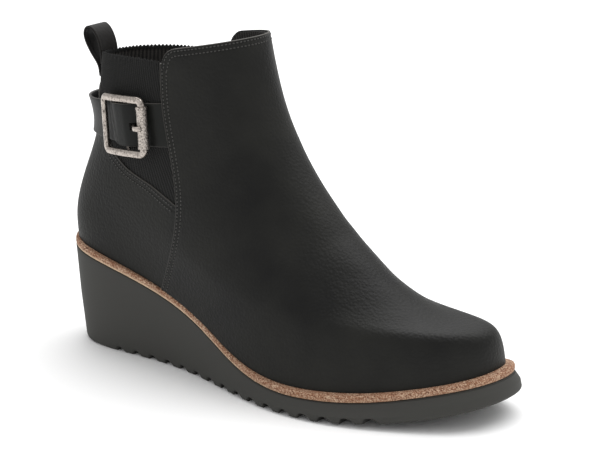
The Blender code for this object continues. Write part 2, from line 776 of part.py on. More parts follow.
def build_roller(finish, frame):
    """The tube that turns on the buckle's front bar."""
    x = BUCKLE_LENGTH / 2.0 - BAR_WIDTH / 2.0
    inner = AXLE_RADIUS + GAP
    half = ROLLER_LENGTH / 2.0
    sides = 16
    profile = ((-half, inner), (-half, ROLLER_RADIUS), (half, ROLLER_RADIUS), (half, inner))
    points = []
    for height, radius in profile:
        for angle in np.linspace(0.0, FULL_TURN, sides, endpoint=False):
            out = BUCKLE_STANDOFF + radius * np.sin(angle)
            points.append(frame.place(x, height, out) + frame.along * (radius * np.cos(angle)))
    faces = grid_faces(4, sides, closed=True)
    last = 3 * sides
    for i in range(sides):
        after = (i + 1) % sides
        faces.append((last + i, last + after, after, i))
    return add_solid("buckle_roller", points, faces, finish)


def flat_strip(path, width, thickness, frame):
    """Rectangular sections along a path in the buckle's frame."""
    path = np.array([(point.along, point.out) for point in path])
    ahead = np.gradient(path, axis=0)
    ahead /= np.linalg.norm(ahead, axis=1, keepdims=True)
    normal = np.stack([-ahead[:, 1], ahead[:, 0]], -1)
    sections = []
    for middle, side in zip(path, normal):
        ring = []
        for across, through in ((-0.5, -0.5), (0.5, -0.5), (0.5, 0.5), (-0.5, 0.5)):
            along, out = middle + side * (through * thickness)
            ring.append(frame.place(along, across * width, out))
        sections.append(np.array(ring))
    return sections


def build_prong(finish, frame):
    """The tongue, from over the centre bar up through the strap to rest on the roller."""
    sections = flat_strip(PRONG_PATH, PRONG_WIDTH, PRONG_THICKNESS, frame)
    return sweep("buckle_prong", sections, finish, closed=False)


def build_slot(frame):
    """A guide block that cuts the strap's hole for the prong."""
    half_width = PRONG_WIDTH / 2.0 + GAP
    points = []
    for along in (SLOT_START, SLOT_END):
        for up in (-half_width, half_width):
            for out in (-SLOT_DEPTH, SLOT_HEIGHT):
                points.append(frame.place(along, up, out))
    faces = [(0, 1, 3, 2), (4, 6, 7, 5), (0, 4, 5, 1), (2, 3, 7, 6), (0, 2, 6, 4), (1, 5, 7, 3)]
    block = add_solid("prong_slot_guide", points, faces, material("guide", (1.0, 0.0, 0.0), 0.5))
    block.hide_render = True
    block.display_type = "WIRE"
    return block


def build_pull_loop(finish):
    """The strip in a loop that leans back, with both of its legs outside the back of the collar."""
    collar = skin(1.0, 0.0, GORE_DEPTH)
    outside = collar[0] - GAP - LOOP_THICKNESS / 2.0
    top = collar[2]
    low = skin(level_at(top - LOOP_TAIL, 0.0), 0.0, GORE_DEPTH)[0] - GAP - LOOP_THICKNESS / 2.0
    outer_leg = [(low, top - LOOP_TAIL), (low - GAP, top - LOOP_TAIL * 0.82)]
    bend = [(outside - LOOP_LEAN * row.lean, top + LOOP_HEIGHT * row.rise) for row in LOOP_BEND]
    path = np.array(outer_leg + bend)
    hug = np.array([1.1, 1.0] + [row.hug for row in LOOP_BEND])
    ahead = np.gradient(path, axis=0)
    ahead /= np.linalg.norm(ahead, axis=1, keepdims=True)
    normal = np.stack([-ahead[:, 1], ahead[:, 0]], -1)
    round_back = (BALL_WIDTH * LAST[-1].widths[0]) ** 2
    round_back /= SOLE_LENGTH * (LAST[-1].front_x - LAST[-1].back_x) / 2.0
    shares = np.linspace(-0.5, 0.5, 5)
    loop = [(share, -0.5) for share in shares] + [(share, 0.5) for share in shares[::-1]]
    sections = []
    for middle, side, curve in zip(path, normal, hug):
        ring = []
        for share, through in loop:
            y = share * LOOP_WIDTH
            x, z = middle + side * (through * LOOP_THICKNESS)
            ring.append((x + curve * y**2 / (2.0 * round_back), y, z))
        sections.append(np.array(ring))
    return sweep("pull_loop", sections, finish, closed=False)


def stand_on_floor(parts, guides):
    """Move everything so that the middle of the parts' box is at x = y = 0."""
    corners = np.concatenate([np.array([v.co for v in part.data.vertices]) for part in parts])
    middle = (corners.min(axis=0) + corners.max(axis=0)) / 2.0
    for piece in parts + guides:
        piece.location.x = -middle[0]
        piece.location.y = -middle[1]


def main():
    """Build the boot."""
    for old in list(bpy.data.objects):
        bpy.data.objects.remove(old, do_unlink=True)
    rubber = material("sole_rubber", (0.045, 0.045, 0.042), 0.75)
    board = material("welt_leatherboard", (0.43, 0.22, 0.11), 0.7)
    leather = material("upper_leather", (0.022, 0.022, 0.020), 0.5)
    lining = material("insole_lining", (0.05, 0.048, 0.045), 0.9)
    strap_leather = material("strap_leather", (0.022, 0.022, 0.020), 0.5)
    loop_leather = material("loop_leather", (0.022, 0.022, 0.020), 0.5)
    nickel = material("buckle_nickel", (0.45, 0.42, 0.40), 0.35, 1.0)
    roller_nickel = material("roller_nickel", (0.45, 0.42, 0.40), 0.4, 1.0)
    prong_nickel = material("prong_nickel", (0.45, 0.42, 0.40), 0.35, 1.0)
    frame = BuckleFrame()
    parts = [build_sole(rubber), build_welt(board), build_upper(leather), build_insole(lining)]
    slot = build_slot(frame)
    parts.append(build_strap(strap_leather, slot, frame))
    centre_bar = build_centre_bar(frame)
    parts.append(build_buckle(nickel, frame, centre_bar))
    parts.append(build_roller(roller_nickel, frame))
    parts.append(build_prong(prong_nickel, frame))
    parts.append(build_pull_loop(loop_leather))
    stand_on_floor(parts, [slot, centre_bar])


main()
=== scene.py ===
"""Looks of a wedge ankle boot for the right foot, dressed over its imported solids.

Metres. +X runs to the toe, +Y to the medial side, +Z up, and the floor is z = 0. Shapes are worked
out with x counted from the heel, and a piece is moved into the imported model's frame as it is made.
The upper's panels come from one last function, skin(level, turn, depth). Its level runs from 0 at
the feather line, where the upper meets the sole, to 1 at the collar. Its turn is an angle round the
foot: 0 at the middle of the heel, half a circle at the toe, on the lateral side first.
"""

import logging
from dataclasses import dataclass
from enum import Enum
from typing import NamedTuple

import bmesh
import bpy
import numpy as np
from mathutils import Matrix, Vector
from mathutils.noise import noise_vector


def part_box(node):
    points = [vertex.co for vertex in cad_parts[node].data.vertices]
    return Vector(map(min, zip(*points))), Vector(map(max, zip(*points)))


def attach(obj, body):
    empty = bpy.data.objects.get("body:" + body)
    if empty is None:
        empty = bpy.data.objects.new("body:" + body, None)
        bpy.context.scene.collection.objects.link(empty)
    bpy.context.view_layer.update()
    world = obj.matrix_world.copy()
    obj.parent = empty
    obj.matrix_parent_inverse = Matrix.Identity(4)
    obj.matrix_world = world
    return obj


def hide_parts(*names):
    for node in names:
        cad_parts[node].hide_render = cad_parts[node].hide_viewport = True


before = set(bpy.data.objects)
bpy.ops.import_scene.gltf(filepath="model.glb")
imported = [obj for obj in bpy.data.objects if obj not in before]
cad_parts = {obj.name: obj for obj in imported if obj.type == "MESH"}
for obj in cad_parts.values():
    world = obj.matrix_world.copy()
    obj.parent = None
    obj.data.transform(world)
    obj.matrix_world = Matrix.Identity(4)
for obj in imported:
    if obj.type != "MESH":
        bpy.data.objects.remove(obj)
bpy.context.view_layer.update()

LOG = logging.getLogger("ankle_boot")

MM = 0.001
HALF_TURN = np.pi
FULL_TURN = 2.0 * np.pi
GAP = 0.3 * MM
Array = np.ndarray


def linear(code: str) -> tuple[float, float, float, float]:
    """Turn an sRGB hex colour into linear light.

    Args:
        code: Six hex digits.

    Returns:
        Red, green, blue and an alpha of 1.
    """
    channels = [int(code[i:i + 2], 16) / 255.0 for i in (0, 2, 4)]
    light = [c / 12.92 if c <= 0.04045 else ((c + 0.055) / 1.055) ** 2.4 for c in channels]
    return (*light, 1.0)


def spline(knots: Array, values: Array, where: Array) -> Array:
    """Read a natural cubic spline.

    Args:
        knots: Places of the known values, rising.
        values: One value or row of values for each knot.
        where: Places to read.

    Returns:
        A value or row of values for each place.
    """
    knots = np.asarray(knots, float)
    values = np.asarray(values, float)
    where = np.asarray(where, float)
    count = len(knots)
    step = np.diff(knots)
    matrix = np.zeros((count, count))
    slope = np.zeros_like(values)
    matrix[0, 0] = 1.0
    matrix[-1, -1] = 1.0
    for i in range(1, count - 1):
        matrix[i, i - 1] = step[i - 1]
        matrix[i, i] = 2.0 * (step[i - 1] + step[i])
        matrix[i, i + 1] = step[i]
        rise_after = (values[i + 1] - values[i]) / step[i]
        rise_before = (values[i] - values[i - 1]) / step[i - 1]
        slope[i] = 6.0 * (rise_after - rise_before)
    bend = np.linalg.solve(matrix, slope)
    cell = np.clip(np.searchsorted(knots, where) - 1, 0, count - 2)
    shape = cell.shape + (1,) * (values.ndim - 1)
    over = (where - knots[cell]).reshape(shape)
    width = step[cell].reshape(shape)
    first = (values[cell + 1] - values[cell]) / width
    first = first - width * (2.0 * bend[cell] + bend[cell + 1]) / 6.0
    third = (bend[cell + 1] - bend[cell]) / (6.0 * width)
    return values[cell] + over * first + over**2 * bend[cell] / 2.0 + over**3 * third


def soft_interp(where: Array, knots: list[float], values: list[float], reach: float) -> Array:
    """Interpolate in straight lines and round the corners over the reach on either side."""
    offsets = np.linspace(-reach, reach, 7)
    weights = 1.0 - np.abs(offsets) / (reach * 1.25)
    total = sum(w * np.interp(where + o, knots, values) for w, o in zip(weights, offsets))
    return total / weights.sum()


def smooth_step(value: Array) -> Array:
    """Ease from 0 to 1 as the value goes from 0 to 1."""
    value = np.clip(value, 0.0, 1.0)
    return value * value * (3.0 - 2.0 * value)


def bell(distance: Array, width: float) -> Array:
    """A smooth bump, 1 at no distance and fading over the width."""
    return np.exp(-((distance / width) ** 2))


def metres_along(path: Array) -> Array:
    """Distance from the start of a path to each of its points."""
    return np.concatenate([[0.0], np.cumsum(np.linalg.norm(np.diff(path, axis=0), axis=-1))])


def signed_power(value: Array, power: float) -> Array:
    """Raise the size of a value to a power and keep its sign."""
    return np.sign(value) * np.abs(value) ** power


def new_object(name: str, data: bpy.types.ID) -> bpy.types.Object:
    """Put an object with this data into the scene."""
    made = bpy.data.objects.new(name, data)
    bpy.context.scene.collection.objects.link(made)
    return made


class Feather(NamedTuple):
    """One point of the feather line: its place, and its height in three parts."""

    along: float  # share of the sole's length
    heel: float  # share of the heel seat's rise over the platform
    toe: float  # share of the toe's lift


class Swing(NamedTuple):
    """How far the foot's middle line swings to the medial side."""

    along: float  # share of the sole's length
    across: float  # share of the ball's width


class Outline(NamedTuple):
    """A closed outline seen from above, with widths at 0, 36, 72, 108, 144 and 180 degrees."""

    back: float  # share of the sole's length
    front: float
    lateral: tuple[float, ...]  # shares of the ball's width
    medial: tuple[float, ...]


class Ring(NamedTuple):
    """One ring of the last, from the middle of its back to the middle of its front."""

    level: float
    back_x: float  # share of the sole's length
    front_x: float
    front_rise: float  # share of the collar's rise at the front
    widths: tuple[float, ...]  # shares of the ball's width at the six turns


@dataclass(frozen=True)
class Last:
    """The form that the upper, the board and the sole are made round."""

    sole_length: float = 262.0 * MM
    ball_width: float = 92.0 * MM
    heel_seat: float = 59.0 * MM
    platform: float = 13.5 * MM
    toe_lift: float = 13.5 * MM
    collar_back: float = 159.0 * MM
    collar_front: float = 178.0 * MM
    sag_reach: float = 0.5
    sag_power: float = 1.5
    swing_reach: float = 0.6
    vamp_edge_low: float = np.radians(64.0)
    vamp_edge_high: float = np.radians(99.0)
    feather: tuple[Feather, ...] = (
        Feather(0.00, 1.000, 0.00),
        Feather(0.12, 0.880, 0.00),
        Feather(0.25, 0.680, 0.00),
        Feather(0.38, 0.420, 0.00),
        Feather(0.50, 0.125, 0.00),
        Feather(0.60, 0.010, 0.00),
        Feather(0.70, 0.000, 0.03),
        Feather(0.80, 0.000, 0.20),
        Feather(0.90, 0.000, 0.56),
        Feather(1.00, 0.000, 1.00),
    )
    swing: tuple[Swing, ...] = (
        Swing(0.00, 0.000),
        Swing(0.30, -0.005),
        Swing(0.62, -0.040),
        Swing(0.80, -0.006),
        Swing(1.00, 0.074),
    )
    rings: tuple[Ring, ...] = (
        Ring(0.00, 0.005, 0.983, 0.000, (0.610, 0.473, 0.328, 0.462, 0.508, 0.626)),
        Ring(0.13, 0.002, 0.966, 0.122, (0.612, 0.462, 0.362, 0.433, 0.446, 0.500)),
        Ring(0.26, 0.010, 0.897, 0.138, (0.548, 0.438, 0.373, 0.422, 0.386, 0.392)),
        Ring(0.42, 0.031, 0.787, 0.198, (0.460, 0.405, 0.361, 0.389, 0.358, 0.338)),
        Ring(0.58, 0.052, 0.673, 0.345, (0.396, 0.361, 0.347, 0.345, 0.330, 0.324)),
        Ring(0.74, 0.060, 0.572, 0.532, (0.362, 0.345, 0.343, 0.330, 0.324, 0.310)),
        Ring(0.88, 0.066, 0.497, 0.760, (0.364, 0.347, 0.346, 0.333, 0.333, 0.316)),
        Ring(1.00, 0.075, 0.458, 1.000, (0.376, 0.347, 0.346, 0.333, 0.341, 0.323)),
    )

    @staticmethod
    def fold(turn: Array) -> tuple[Array, Array]:
        """Return the turn measured on its own side, and -1 for lateral or +1 for medial."""
        turn = np.asarray(turn, float) % FULL_TURN
        lateral = turn <= HALF_TURN
        return np.where(lateral, turn, FULL_TURN - turn), np.where(lateral, -1.0, 1.0)

    @staticmethod
    def round_widths(stations: Array, turn: Array) -> Array:
        """Blend the six station widths round the half circle with a cosine series."""
        stations = np.asarray(stations, float)
        last = stations.shape[-1] - 1
        order = np.arange(last + 1)
        weights = np.ones(last + 1)
        weights[[0, last]] = 0.5
        series = (2.0 / last) * ((stations * weights) @ np.cos(np.outer(order, order) * np.pi / last))
        series[..., [0, last]] *= 0.5
        return (series * np.cos(np.asarray(turn)[..., None] * order)).sum(-1)

    def feather_height(self, x: Array) -> Array:
        """Height of the feather line at x from the heel."""
        rise = self.heel_seat - self.platform
        heights = [self.platform + rise * row.heel + self.toe_lift * row.toe for row in self.feather]
        return spline([row.along for row in self.feather], heights, np.asarray(x) / self.sole_length)

    def middle(self, x: Array) -> Array:
        """Sideways place of the foot's middle line at x from the heel."""
        across = [row.across * self.ball_width for row in self.swing]
        return spline([row.along for row in self.swing], across, np.asarray(x) / self.sole_length)

    def outline(self, shape: Outline, turn: Array) -> Array:
        """Points of an outline seen from above, one for each turn."""
        half, side = self.fold(turn)
        lateral = self.round_widths(shape.lateral, half)
        medial = self.round_widths(shape.medial, half)
        width = np.where(side < 0.0, lateral, medial) * self.ball_width
        share = (1.0 - np.cos(half)) / 2.0
        x = self.sole_length * (shape.back + (shape.front - shape.back) * share)
        return np.stack([x, side * width * np.sin(half) + self.middle(x)], -1)

    def point(self, level: Array, turn: Array) -> Array:
        """Points of the last's outer shape."""
        level, turn = np.broadcast_arrays(np.asarray(level, float), np.asarray(turn, float))
        rows = [(row.back_x, row.front_x, row.front_rise) + row.widths for row in self.rings]
        row = spline([entry.level for entry in self.rings], rows, level)
        half, side = self.fold(turn)
        share = (1.0 - np.cos(half)) / 2.0
        x = self.sole_length * (row[..., 0] + (row[..., 1] - row[..., 0]) * share)
        foot = self.rings[0]
        toe_foot = self.feather_height(self.sole_length * foot.front_x)
        back_z = self.heel_seat + (self.collar_back - self.heel_seat) * level
        front_z = toe_foot + (self.collar_front - toe_foot) * row[..., 2]
        foot_x = self.sole_length * (foot.back_x + (foot.front_x - foot.back_x) * share)
        sag = self.feather_height(foot_x) - (self.heel_seat + (toe_foot - self.heel_seat) * share)
        fade = np.clip(1.0 - level / self.sag_reach, 0.0, 1.0) ** self.sag_power
        z = back_z + (front_z - back_z) * share + sag * fade
        width = self.round_widths(row[..., 3:], half) * self.ball_width
        middle = self.middle(x) * np.clip(1.0 - level / self.swing_reach, 0.0, 1.0)
        return np.stack([x, side * width * np.sin(half) + middle, z], -1)

    def slopes(self, level: Array, turn: Array) -> tuple[Array, Array]:
        """How the point moves for one whole level, and for one radian of turn."""
        probe = 1e-3
        low = np.clip(np.asarray(level, float) - probe, 0.0, None)
        rise = np.asarray(level, float) + probe - low
        up = (self.point(low + rise, turn) - self.point(low, turn)) / rise[..., None]
        around = self.point(level, turn + probe) - self.point(level, turn - probe)
        return up, around / (2.0 * probe)

    def normal(self, level: Array, turn: Array) -> Array:
        """The direction out of the boot."""
        up, around = self.slopes(level, turn)
        out = np.cross(around, up)
        return out / np.linalg.norm(out, axis=-1, keepdims=True)

    def skin(self, level: Array, turn: Array, depth: Array | float = 0.0) -> Array:
        """Points under the last's outer shape by the depth, or over it where that is negative."""
        level, turn = np.broadcast_arrays(np.asarray(level, float), np.asarray(turn, float))
        depth = np.broadcast_to(np.asarray(depth, float), level.shape)
        return self.point(level, turn) - self.normal(level, turn) * depth[..., None]

    def level_at(self, height: Array, turn: Array) -> Array:
        """The level at which the last has this height at this turn."""
        level = np.full(np.broadcast(height, turn).shape, 0.7)
        for _ in range(8):
            up, _ = self.slopes(level, turn)
            level = np.clip(level + (height - self.point(level, turn)[..., 2]) / up[..., 2], 0.0, 1.05)
        return level

    def vamp_edge(self, level: Array) -> Array:
        """The turn of the vamp's rear edge, on either side."""
        return self.vamp_edge_low + (self.vamp_edge_high - self.vamp_edge_low) * np.asarray(level)

    def beside(self, levels: Array, turns: Array, distance: float) -> tuple[Array, Array]:
        """Move a line on the skin sideways, to the left of its run as seen from outside.

        Args:
            levels: Levels along the line.
            turns: Turns along the line.
            distance: How far to move it, in metres.

        Returns:
            The levels and turns of the moved line.
        """
        path = self.point(levels, turns)
        run = np.gradient(path, axis=0)
        run /= np.linalg.norm(run, axis=1, keepdims=True)
        up, around = self.slopes(levels, turns)
        shift = np.cross(self.normal(levels, turns), run) * distance
        a = (up * up).sum(-1)
        b = (up * around).sum(-1)
        c = (around * around).sum(-1)
        p = (up * shift).sum(-1)
        q = (around * shift).sum(-1)
        whole = a * c - b * b
        return levels + (c * p - b * q) / whole, turns + (a * q - b * p) / whole


class Surface(NamedTuple):
    """Points and faces of one mesh, with pattern coordinates in metres and a material per face."""

    points: Array
    faces: list[tuple[int, ...]]
    pattern: Array | None = None
    finishes: Array | None = None


def grid_faces(rows: int, columns: int, wrap: bool, start: int = 0) -> list[tuple[int, ...]]:
    """Quads of a grid whose points are listed row by row.

    Args:
        rows: Number of rows.
        columns: Number of columns.
        wrap: Whether the last column joins the first.
        start: Index of the grid's first point.

    Returns:
        The quads.
    """
    row, column = np.meshgrid(np.arange(rows - 1), np.arange(columns - (not wrap)), indexing="ij")
    low = start + row * columns
    after = (column + 1) % columns
    quads = np.stack([low + column, low + after, low + columns + after, low + columns + column], -1)
    return [tuple(quad) for quad in quads.reshape(-1, 4).tolist()]


def thick_panel(outer: Array, inner: Array, wrap: bool, pattern: Array | None = None) -> Surface:
    """A closed panel between an outer and an inner grid of the same size."""
    rows, columns = outer.shape[:2]
    count = rows * columns
    faces = grid_faces(rows, columns, wrap) + grid_faces(rows, columns, wrap, count)
    rims = [(np.arange(columns), wrap), ((rows - 1) * columns + np.arange(columns), wrap)]
    if not wrap:
        rims += [(np.arange(rows) * columns, False), (np.arange(rows) * columns + columns - 1, False)]
    for rim, closed in rims:
        after = np.roll(rim, -1)
        for i in range(len(rim) if closed else len(rim) - 1):
            faces.append((int(rim[i]), int(after[i]), int(after[i]) + count, int(rim[i]) + count))
    points = np.concatenate([outer.reshape(-1, 3), inner.reshape(-1, 3)])
    if pattern is not None:
        pattern = np.concatenate([pattern.reshape(-1, 2)] * 2)
    return Surface(points, faces, pattern)


def swept(sections: Array, closed: bool) -> Surface:
    """A solid through section rings, which close on themselves or end in flat caps."""
    rows, columns = sections.shape[:2]
    faces = grid_faces(rows, columns, wrap=True)
    last = (rows - 1) * columns
    if closed:
        ring = np.arange(columns)
        after = np.roll(ring, -1)
        faces += [(last + int(i), last + int(j), int(j), int(i)) for i, j in zip(ring, after)]
    else:
        faces.append(tuple(range(columns)))
        faces.append(tuple(range(last, last + columns)))
    return Surface(sections.reshape(-1, 3), faces)


def rounded_strip(width: float, thickness: float, radius: float, flat: int) -> Array:
    """The section of a strip with round corners, across it and through it.

    Args:
        width: Size across.
        thickness: Size through.
        radius: Radius of the corners.
        flat: Number of points along each long side between the corners.

    Returns:
        Points round the section, the outer side first.
    """
    across = width / 2.0 - radius
    through = thickness / 2.0 - radius
    ring: list[tuple[float, float]] = []
    corners = ((across, through), (-across, through), (-across, -through), (across, -through))
    for number, (x, y) in enumerate(corners):
        for angle in np.linspace(number * HALF_TURN / 2.0, (number + 1) * HALF_TURN / 2.0, 4):
            ring.append((x + radius * np.cos(angle), y + radius * np.sin(angle)))
        if number in (0, 2):
            for share in np.linspace(0.0, 1.0, flat + 2)[1:-1]:
                ring.append((x * (1.0 - 2.0 * share), y + radius * (1.0 if number == 0 else -1.0)))
    return np.array(ring)


def resample(path: Array, spacing: float, offset: float) -> Array:
    """Even places along a path, as shares of its point count.

    Args:
        path: The path's points.
        spacing: Metres from place to place.
        offset: How far the places are moved on, as a share of the spacing.

    Returns:
        The places.
    """
    length = metres_along(path)
    count = max(2, int(round(length[-1] / spacing)))
    metres = (np.arange(count) + 0.5 + offset) * length[-1] / count
    return np.interp(metres, length, np.arange(len(path)))


def add_node(
    tree: bpy.types.NodeTree, kind: str, settings: dict | None = None, links: dict | None = None
) -> bpy.types.Node:
    """Add a shader node with its settings and links.

    Args:
        tree: The material's node tree.
        kind: The node's Blender type.
        settings: Properties by name, values of inputs by name or number, and a colour ramp's stops
            as rows of a place and a hex colour.
        links: Output sockets by the name or number of the input that they feed.

    Returns:
        The node.
    """
    node = tree.nodes.new(kind)
    for key, value in (settings or {}).items():
        if key == "stops":
            elements = node.color_ramp.elements
            while len(elements) < len(value):
                elements.new(0.5)
            for element, (place, code) in zip(elements, value):
                element.position = place
                element.color = linear(code)
        elif isinstance(key, str) and hasattr(node, key):
            setattr(node, key, value)
        else:
            node.inputs[key].default_value = value
    for key, source in (links or {}).items():
        tree.links.new(source, node.inputs[key])
    return node


class Space(Enum):
    """Where a pattern's coordinates come from."""

    SOLID = "Object"
    PATTERN = "UV"


@dataclass(frozen=True)
class Finish:
    """A finish that starts from a plain Principled surface."""

    name: str
    colour: str
    roughness: float
    metallic: float = 0.0
    ior: float = 1.5
    specular: float = 0.5

    def looks(self, tree: bpy.types.NodeTree) -> dict[str, bpy.types.NodeSocket]:
        """Sources for the shader's inputs by name, of which a plain finish has none."""
        return {}

    def material(self) -> bpy.types.Material:
        """Make the material, its constant values set on the shader's own sockets."""
        made = bpy.data.materials.new(self.name)
        made.use_nodes = True
        tree = made.node_tree
        inputs = tree.nodes["Principled BSDF"].inputs
        inputs["Base Color"].default_value = linear(self.colour)
        inputs["Roughness"].default_value = self.roughness
        inputs["Metallic"].default_value = self.metallic
        inputs["IOR"].default_value = self.ior
        inputs["Specular IOR Level"].default_value = self.specular
        for name, source in self.looks(tree).items():
            tree.links.new(source, inputs[name])
        return made

    @staticmethod
    def place(
        tree: bpy.types.NodeTree, space: Space, stretch: tuple[float, float, float]
    ) -> bpy.types.NodeSocket:
        """Coordinates divided into cells, with the stretch as cells per metre on each axis."""
        source = add_node(tree, "ShaderNodeTexCoord").outputs[space.value]
        scaled = add_node(tree, "ShaderNodeMapping", {"Scale": stretch}, {"Vector": source})
        return scaled.outputs["Vector"]


@dataclass(frozen=True)
class PebbledLeather(Finish):
    """Corrected cow leather, embossed with a fine pebble and rubbed with wax.

    Its pebbles catch small lights on a satin ground, and wax that gathers unevenly makes slow
    patches of more and less gloss.
    """

    pale: str = "20201D"
    specular: float = 0.22
    pebble: float = 0.95 * MM
    pebble_height: float = 0.22 * MM
    pore: float = 0.35 * MM
    patch: float = 38.0 * MM

    def looks(self, tree: bpy.types.NodeTree) -> dict[str, bpy.types.NodeSocket]:
        """Sources for the shader's inputs by name."""
        cells = self.place(tree, Space.SOLID, (1.0 / self.pebble,) * 3)
        warp = add_node(tree, "ShaderNodeTexNoise", {"Scale": 0.6, "Detail": 2.0}, {"Vector": cells})
        bent = add_node(
            tree, "ShaderNodeMix", {"data_type": "VECTOR", "Factor": 0.35},
            {4: cells, 5: warp.outputs["Color"]},
        )
        grain = add_node(
            tree, "ShaderNodeTexVoronoi", {"feature": "SMOOTH_F1", "Scale": 1.0, "Smoothness": 0.6},
            {"Vector": bent.outputs[1]},
        )
        pores = add_node(
            tree, "ShaderNodeTexNoise", {"Scale": self.pebble / self.pore, "Detail": 3.0}, {"Vector": cells}
        )
        height = add_node(
            tree, "ShaderNodeMath", {"operation": "MULTIPLY_ADD", 1: 0.35},
            {0: pores.outputs["Fac"], 2: grain.outputs["Distance"]},
        )
        relief = add_node(
            tree, "ShaderNodeBump", {"invert": True, "Strength": 0.9, "Distance": self.pebble_height},
            {"Height": height.outputs["Value"]},
        )
        patches = add_node(
            tree, "ShaderNodeTexNoise", {"Scale": self.pebble / self.patch, "Detail": 3.0},
            {"Vector": cells},
        )
        colour = add_node(
            tree, "ShaderNodeValToRGB", {"stops": [(0.35, self.colour), (0.75, self.pale)]},
            {"Fac": patches.outputs["Fac"]},
        )
        gloss = add_node(
            tree, "ShaderNodeMapRange",
            {"From Min": 0.3, "From Max": 0.7, "To Min": self.roughness - 0.05,
             "To Max": self.roughness + 0.07},
            {"Value": patches.outputs["Fac"]},
        )
        return {
            "Base Color": colour.outputs["Color"],
            "Roughness": gloss.outputs["Result"],
            "Normal": relief.outputs["Normal"],
        }


@dataclass(frozen=True)
class MouldedRubber(Finish):
    """Light foamed rubber from a spark-textured mould.

    The fine matt texture leaves a soft even grey with hardly a highlight, and dust pales it in
    slow patches.
    """

    pale: str = "32312E"
    texture: float = 0.5 * MM
    patch: float = 30.0 * MM

    def looks(self, tree: bpy.types.NodeTree) -> dict[str, bpy.types.NodeSocket]:
        """Sources for the shader's inputs by name."""
        cells = self.place(tree, Space.SOLID, (1.0 / self.texture,) * 3)
        spark = add_node(tree, "ShaderNodeTexNoise", {"Scale": 1.0, "Detail": 3.0}, {"Vector": cells})
        relief = add_node(
            tree, "ShaderNodeBump", {"Strength": 0.35, "Distance": 0.06 * MM},
            {"Height": spark.outputs["Fac"]},
        )
        dust = add_node(
            tree, "ShaderNodeTexNoise", {"Scale": self.texture / self.patch, "Detail": 4.0},
            {"Vector": cells},
        )
        colour = add_node(
            tree, "ShaderNodeValToRGB", {"stops": [(0.35, self.colour), (0.7, self.pale)]},
            {"Fac": dust.outputs["Fac"]},
        )
        return {"Base Color": colour.outputs["Color"], "Normal": relief.outputs["Normal"]}


@dataclass(frozen=True)
class CutLeatherboard(Finish):
    """Leatherboard with cork in it, its edge cut and left bare.

    The cut shows crumbs of cork and leather: tan, with orange and dark specks, and a paler lower
    layer towards the heel. Pattern coordinates run from the heel to the toe and up the edge.
    """

    pale: str = "C9AE92"
    warm: str = "8A5A3A"
    dark: str = "4A2B1B"
    crumb: float = 0.75 * MM
    speck: float = 0.9 * MM
    height: float = 3.5 * MM

    def looks(self, tree: bpy.types.NodeTree) -> dict[str, bpy.types.NodeSocket]:
        """Sources for the shader's inputs by name."""
        cells = self.place(tree, Space.SOLID, (1.0 / self.crumb,) * 3)
        crumbs = add_node(tree, "ShaderNodeTexNoise", {"Scale": 1.0, "Detail": 4.0}, {"Vector": cells})
        stops = [(0.36, self.dark), (0.43, self.warm), (0.52, self.colour), (0.64, self.pale)]
        ground = add_node(tree, "ShaderNodeValToRGB", {"stops": stops}, {"Fac": crumbs.outputs["Fac"]})
        patches = add_node(tree, "ShaderNodeTexNoise", {"Scale": 0.06, "Detail": 2.0}, {"Vector": cells})
        warm_share = add_node(
            tree, "ShaderNodeMapRange", {"From Min": 0.42, "From Max": 0.68, "To Max": 0.35},
            {"Value": patches.outputs["Fac"]},
        )
        warmed = add_node(
            tree, "ShaderNodeMix", {"data_type": "RGBA", 7: linear(self.warm)},
            {0: warm_share.outputs["Result"], 6: ground.outputs["Color"]},
        )
        pattern = add_node(tree, "ShaderNodeTexCoord").outputs["UV"]
        parts = add_node(tree, "ShaderNodeSeparateXYZ", links={"Vector": pattern})
        low = add_node(
            tree, "ShaderNodeMapRange",
            {"From Min": self.height * 0.22, "From Max": self.height * 0.5, "To Min": 0.85, "To Max": 0.0},
            {"Value": parts.outputs["Y"]},
        )
        rear = add_node(
            tree, "ShaderNodeMapRange", {"From Min": 0.1, "From Max": 0.16, "To Min": 1.0, "To Max": 0.15},
            {"Value": parts.outputs["X"]},
        )
        layer = add_node(
            tree, "ShaderNodeMath", {"operation": "MULTIPLY"},
            {0: low.outputs["Result"], 1: rear.outputs["Result"]},
        )
        layered = add_node(
            tree, "ShaderNodeMix", {"data_type": "RGBA", 7: linear(self.pale)},
            {0: layer.outputs["Value"], 6: warmed.outputs[2]},
        )
        specks = add_node(
            tree, "ShaderNodeTexVoronoi", {"feature": "F1", "Scale": self.crumb / self.speck},
            {"Vector": cells},
        )
        speck_share = add_node(
            tree, "ShaderNodeMapRange", {"From Min": 0.16, "From Max": 0.26, "To Min": 0.85, "To Max": 0.0},
            {"Value": specks.outputs["Distance"]},
        )
        speckled = add_node(
            tree, "ShaderNodeMix", {"data_type": "RGBA", 7: linear(self.dark)},
            {0: speck_share.outputs["Result"], 6: layered.outputs[2]},
        )
        relief = add_node(
            tree, "ShaderNodeBump", {"Strength": 0.8, "Distance": 0.15 * MM},
            {"Height": crumbs.outputs["Fac"]},
        )
        return {"Base Color": speckled.outputs[2], "Normal": relief.outputs["Normal"]}


